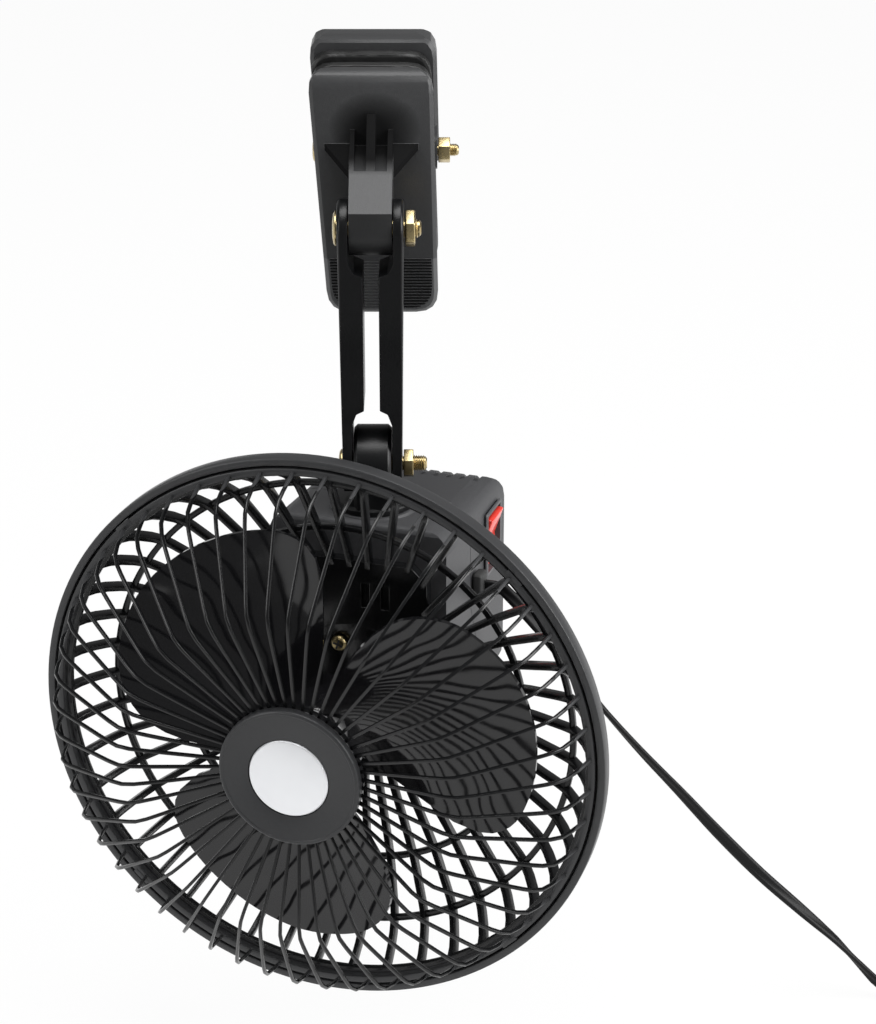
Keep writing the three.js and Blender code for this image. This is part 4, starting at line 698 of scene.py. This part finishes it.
shoulder = math.pi - math.acos(plate_half_wide / plate_radius)
bevel_z = plate_top - plate_half_wide + plate_corner
plate_edge = [(plate_half_wide, bevel_z), (plate_corner, plate_top), (-plate_corner, plate_top),
              (-plate_half_wide, bevel_z)]
edge_steps = 40
for k in range(edge_steps + 1):
    turn = shoulder + (math.tau - 2 * shoulder + math.pi) * k / edge_steps
    plate_edge.append((plate_radius * math.cos(turn), plate_radius * math.sin(turn)))
motor_screws = (("upper", -5, 15), ("lower", 5, -15))
screw_holes = [circle(2.1, across, up, 16) for which, across, up in motor_screws]
slots = [box_outline(2.6, 5.2, 28.6, 36.6), box_outline(9, 11.6, 28.6, 36.6)]
plate_front = slab(plate_edge, [circle(22), *slots], front=33, back=34.5, round_by=0.35)
plate_back = slab(plate_edge, [circle(4.5, steps=20), *screw_holes], front=34.3, back=36.7, round_by=0.1)
rear_rim = turned([(83.2, 3.2), (87.6, 3.2), (87.6, 0.2), (90, 0.2), (90, 5.4), (83.2, 5.4)],
                  Matrix.Identity(4), 180, round_by=0.5)
ring_outer = turned([(73.95, 19), (75.85, 19), (75.85, 20.9), (73.95, 20.9)], Matrix.Identity(4), 150,
                    round_by=0.3)
ring_inner = turned([(56.15, 27.05), (58.05, 27.05), (58.05, 28.95), (56.15, 28.95)], Matrix.Identity(4),
                    130, round_by=0.3)
ribs = bars(rib_path, thickness=3.2, width=1.9, count=45, phase=math.radians(3.5), round_by=0.4)
rear_cage = joined(rear_rim, ring_outer, ring_inner, ribs, plate_front, plate_back)
bmesh.ops.transform(rear_cage, matrix=fan_place, verts=rear_cage.verts)
settle(rear_cage, "rear_cage", "head", rear_black, ("rear_guard",), sharp=40)

# Front guard: one black moulding that clips into the rear guard's channel. 52 thin spokes curve back
# from the hub plate to the rim, and four latch tabs hold it.
guard_black = guard_plastic("front_guard_plastic", (0.002, 0.0021, 0.0024), (0.007, 0.0073, 0.008))
spoke_path = [(20.3, -24.4), (35, -27.2), (45, -29.1), (49.5, -29.8), (53.5, -29.5), (57.5, -27.6),
              (66, -22.8), (74, -18.3), (79, -15.1), (81.7, -12), (83.2, -8), (84.5, -3.4), (85.6, 1.2)]
front_rim = turned([(84.7, 0.2), (86.9, 0.2), (86.9, 2.9), (84.7, 2.9)], Matrix.Identity(4), 180,
                   round_by=0.35)
hub_plate = turned([(0, -25.4), (21.9, -25.4), (21.9, -22.6), (0, -22.6)], Matrix.Identity(4), 72,
                   closed=False, round_by=0.3)
spokes = bars(lambda angle: spoke_path, thickness=1.2, width=1, count=52, phase=math.radians(4.1),
              round_by=0.3)
front_cage = joined(front_rim, hub_plate, spokes)
# The spokes lean over, so that the hub plate sits a little to the right and above the fan's axis
lean_from, lean_over, hub_right, hub_up = 82.7, 62.6, 1.5, 0.5
for vert in front_cage.verts:
    radius = math.hypot(vert.co.x, vert.co.z) / MM
    share = min(max((lean_from - radius) / lean_over, 0), 1)
    vert.co += Vector((hub_right * share, 0, hub_up * share)) * MM
tab_place = Matrix.Translation((86.5 * MM, 1.45 * MM, 0)) @ Matrix.Diagonal((1.6 * MM, 2.9 * MM, 6 * MM, 1))
tabs = bmesh.new()
for k in range(4):
    turn = math.radians(45 + 90 * k)
    bmesh.ops.create_cube(tabs, size=1, matrix=Matrix.Rotation(-turn, 4, "Y") @ tab_place)
bmesh.ops.bevel(tabs, geom=tabs.edges[:], offset=0.3 * MM, segments=2, affect="EDGES", profile=0.5,
                material=-1)
front_cage = joined(front_cage, tabs)
bmesh.ops.transform(front_cage, matrix=fan_place, verts=front_cage.verts)
settle(front_cage, "front_cage", "head", guard_black, ("front_guard",), sharp=40)

# Hub cap and badge: a round black cap pressed on the guard's middle, with a thin light edge, and a
# plain silver disc let into it.
cap_black = moulded_black("cap_plastic", (0.024, 0.0245, 0.026), 0.34, 0.00004)
hub_place = fan_place @ Matrix.Translation((0.0015, 0, 0.0005))
cap_profile = [(0, -27.3), (12.7, -27.3), (12.7, -28.2), (20.7, -28.2), (20.9, -28.5), (21.5, -28.5),
               (22, -28.1), (22.1, -27.4), (22.1, -25.7), (0, -25.7)]
settle(turned(cap_profile, hub_place, 96, closed=False, round_by=0.12), "cap", "head",
       cap_black, ("hub_cap",))


def badge_silver():
    finish = Finish("badge_silver", 0.34, metallic=0.75)
    fine = finish.noise(3800, 2)
    broad = finish.noise(70, 2)
    finish.give(Base_Color=finish.blend(broad, (0.8, 0.81, 0.83), (0.93, 0.94, 0.96)),
                Roughness=0.28 + 0.12 * broad)
    finish.bump(fine, 0.00002)
    return finish.material


silver = badge_silver()
settle(turned([(0, -28.5), (11.6, -28.5), (12.1, -28.4), (12.4, -28.1), (12.4, -27.6), (0, -27.6)],
              hub_place, 72, closed=False), "badge", "head", silver, ("hub_badge",))


# Fan blades: three broad petals and a domed hub in one polished black moulding, pressed on the
# motor's steel shaft.
def polished_black():
    finish = Finish("blade_gloss", 0.06, specular=0.5)
    broad = finish.noise(26, 3)
    smear = finish.noise(120, 3)
    finish.give(Base_Color=finish.blend(broad, (0.004, 0.004, 0.0045), (0.008, 0.008, 0.009)),
                Roughness=0.03 + 0.07 * smear)
    finish.bump(finish.noise(34, 1), 0.0018, 0.8)
    return finish.material


# A blade's outline: its reach as a share of the longest, at degrees round the hub
petal_edge = [(-31, 0.7), (-29, 0.8), (-26, 0.87), (-20, 0.93), (-11, 0.96), (0, 0.98), (12, 0.995),
              (24, 0.995), (35, 0.97), (45, 0.93), (53, 0.86), (59, 0.765), (64, 0.61), (67.5, 0.42)]


def petals():
    """Three thin twisted blades, each a bent grid given its thickness."""
    columns, rows = 40, 10
    start, sweep, root, reach = -31, 98.5, 13, 69.7
    front_pitch, twist, cup, thickness, middle_y = 5, 15, 2.2, 1.5, -1.15
    bm = bmesh.new()
    bmesh.ops.create_grid(bm, x_segments=columns, y_segments=rows, size=0.5)
    for vert in bm.verts:
        share = vert.co.x + 0.5
        out = vert.co.y + 0.5
        degrees = start + sweep * share
        radius = root + (reach * between(petal_edge, min(degrees, start + sweep - 0.01)) - root) * out
        angle = math.radians(degrees)
        pitch = front_pitch - twist * share + cup * math.sin(math.pi * share) * out
        vert.co = Vector((radius * math.cos(angle), pitch, radius * math.sin(angle))) * MM
    bmesh.ops.recalc_face_normals(bm, faces=bm.faces)
    bmesh.ops.solidify(bm, geom=bm.faces[:], thickness=thickness * MM)
    middle = sum((v.co.y for v in bm.verts), 0) / len(bm.verts)
    bmesh.ops.translate(bm, verts=bm.verts, vec=(0, middle_y * MM - middle, 0))
    bmesh.ops.spin(bm, geom=bm.verts[:] + bm.edges[:] + bm.faces[:], cent=(0, 0, 0), axis=(0, 1, 0),
                   angle=math.tau * 2 / 3, steps=2, use_duplicate=True)
    bmesh.ops.transform(bm, matrix=fan_place, verts=bm.verts)
    return bm


gloss = polished_black()
hub = turned([(0, -16), (4, -15.8), (8, -14.9), (12, -12.4), (14.3, -9.6), (15, -6.5), (15, 12), (1.8, 12),
              (1.8, -7.3), (0, -7.3)], fan_place, 64, closed=False)
settle(joined(hub, petals()), "blades", "rotor", gloss, ("fan_blades",), sharp=50)
settle(turned([(0, -7), (1.5, -7), (1.5, 57.7), (0, 57.7)], fan_place, 24, closed=False), "shaft", "rotor",
       bare_steel, ("motor_shaft",))

# Motor: a drawn steel can behind the rear guard's plate. Two brass screws hold it, one above and one
# # below the shaft. Their cross slots are black blocks of painted shade set in the heads.
settle(refined("motor_can", 0.6, 3), "motor", "head", bare_steel, ("motor_can",))
brass = steel("brass", (0.36, 0.29, 0.15), 0.3)
slot_y, slot_turn = 31.95, 0.3
slot_size = Matrix.Diagonal((3.2 * MM, 0.5 * MM, 0.55 * MM, 1))
for which, across, up in motor_screws:
    settle(refined(f"motor_screw_{which}", 0.15), f"brass_screw_{which}", "head", brass,
           (f"motor_screw_{which}",))
    # A cross of two black blocks in each head is painted shade for its slot
    cross = bmesh.new()
    for quarter in (slot_turn, slot_turn + math.pi / 2):
        bmesh.ops.create_cube(cross, size=1, matrix=Matrix.Translation(Vector((across, slot_y, up)) * MM)
                              @ Matrix.Rotation(quarter, 4, "Y") @ slot_size)
    bmesh.ops.transform(cross, matrix=fan_place, verts=cross.verts)
    settle(cross, f"{which}_screw_slot_shade", "head", plug_black)

# Housing: two satin black shells that meet on a slanted line, with upright grooves down the back. Two
# steel screws low on the back hold them together.
housing_plastic = moulded_black("housing_plastic", (0.045, 0.0455, 0.048), 0.5, 0.00008)
for which in ("front", "rear"):
    settle(refined(f"housing_{which}_shell", 0.3), f"{which}_shell", "head",
           housing_plastic, (f"housing_{which}_shell",))
for side in ("left", "right"):
    settle(refined(f"housing_screw_{side}", 0.2), f"shell_screw_{side}", "head", bare_steel,
           (f"housing_screw_{side}",))


# Rocker switch: a plain red rocker in a black frame. The frame snaps into the housing's right wall,
# near the top.
def rocker_plastic():
    finish = Finish("rocker_red", 0.3, coat=0.3)
    broad = finish.noise(200, 2)
    finish.give(Base_Color=finish.blend(broad, (0.6, 0.03, 0.02), (0.72, 0.05, 0.03)),
                Roughness=0.24 + 0.14 * broad)
    finish.bump(finish.noise(2600, 2), 0.00002)
    return finish.material


settle(refined("switch_body", 0.3), "switch_frame", "head",
       moulded_black("switch_plastic", (0.06, 0.06, 0.064), 0.4), ("switch_body",))
settle(refined("switch_rocker", 0.5, 3), "rocker", "rocker", rocker_plastic(),
       ("switch_rocker",))

# Swing drive, inside the housing: a geared block, its crank disc and the steel link to the lever. The
# cord's soft gland sits in the right wall below the switch.
settle(refined("gearbox", 0.5), "gear_block", "head", plug_black, ("gearbox",))
settle(refined("crank_disc", 0.3), "crank", "crank", plug_black, ("crank_disc",))
settle(refined("drive_link", 0.2), "link", "link", bare_steel, ("drive_link",))
settle(refined("cord_gland", 0.4, 3), "gland", "head",
       moulded_black("gland_rubber", (0.025, 0.025, 0.025), 0.6), ("cord_gland",))


# Floor and light: a pale floor that shows white behind the fan and keeps its shadow, a large soft
# light on the right, a weaker one on the left and one above.
def pale_floor():
    finish = Finish("pale_floor", 0.9)
    finish.give(Base_Color=(0.86, 0.86, 0.86))
    path = finish.nodes.new("ShaderNodeLightPath")
    seen = Reading(finish, path.outputs["Is Camera Ray"])
    seen = seen.highest(Reading(finish, path.outputs["Is Glossy Ray"]))
    seen = seen.highest(Reading(finish, path.outputs["Is Transmission Ray"]))
    glow = finish.node("ShaderNodeEmission", values={"Color": (1, 1, 1), "Strength": 1.0})
    glow_share = 0.94
    mixed = finish.node("ShaderNodeMixShader", values={
        0: seen * glow_share, 1: Reading(finish, finish.shader.outputs[0]), 2: glow})
    finish.links.new(mixed.socket, finish.nodes["Material Output"].inputs["Surface"])
    return finish.material


# It ends in front of the fan, so that the upright front faces mirror the dim room
floor_half, floor_back, floor_drop = 4, 3.5, 0.0004
bm = bmesh.new()
bmesh.ops.create_grid(bm, x_segments=1, y_segments=1, size=floor_half)
bmesh.ops.translate(bm, verts=bm.verts, vec=(0, floor_back, ground - floor_drop))
floor_mesh = bpy.data.meshes.new("floor")
bm.to_mesh(floor_mesh)
bm.free()
floor_mesh.materials.append(pale_floor())
floor = bpy.data.objects.new("floor", floor_mesh)
bpy.context.collection.objects.link(floor)

# The room is white where the camera looks at it and dim for everything else
world = bpy.data.worlds.new("studio")
bpy.context.scene.world = world
world.use_nodes = True
sky = world.node_tree
ambient = sky.nodes["Background"]
ambient.inputs["Color"].default_value = (1, 1, 1, 1)
ambient.inputs["Strength"].default_value = 0.2
white = sky.nodes.new("ShaderNodeBackground")
white.inputs["Color"].default_value = (1, 1, 1, 1)
white.inputs["Strength"].default_value = 1.0
ray = sky.nodes.new("ShaderNodeLightPath")
pick = sky.nodes.new("ShaderNodeMixShader")
sky.links.new(ray.outputs["Is Camera Ray"], pick.inputs[0])
sky.links.new(ambient.outputs[0], pick.inputs[1])
sky.links.new(white.outputs[0], pick.inputs[2])
sky.links.new(pick.outputs[0], sky.nodes["World Output"].inputs["Surface"])


def soft_light(name, place, aim, size, watts):
    lamp = bpy.data.lights.new(name, "AREA")
    lamp.shape = "RECTANGLE"
    lamp.size, lamp.size_y = size
    lamp.energy = watts
    holder = bpy.data.objects.new(name, lamp)
    holder.location = place
    holder.rotation_euler = (Vector(aim) - Vector(place)).to_track_quat("-Z", "Y").to_euler()
    bpy.context.collection.objects.link(holder)


fan_middle = (0, -0.05, -0.12)
soft_light("right_softbox", (1.5, -0.5, 0.5), fan_middle, size=(1.2, 1.2), watts=34)
soft_light("left_softbox", (-1.5, -0.9, 0.5), fan_middle, size=(0.9, 1.2), watts=12)
soft_light("top_softbox", (0.1, -0.2, 1.5), fan_middle, size=(1.2, 1.0), watts=24)
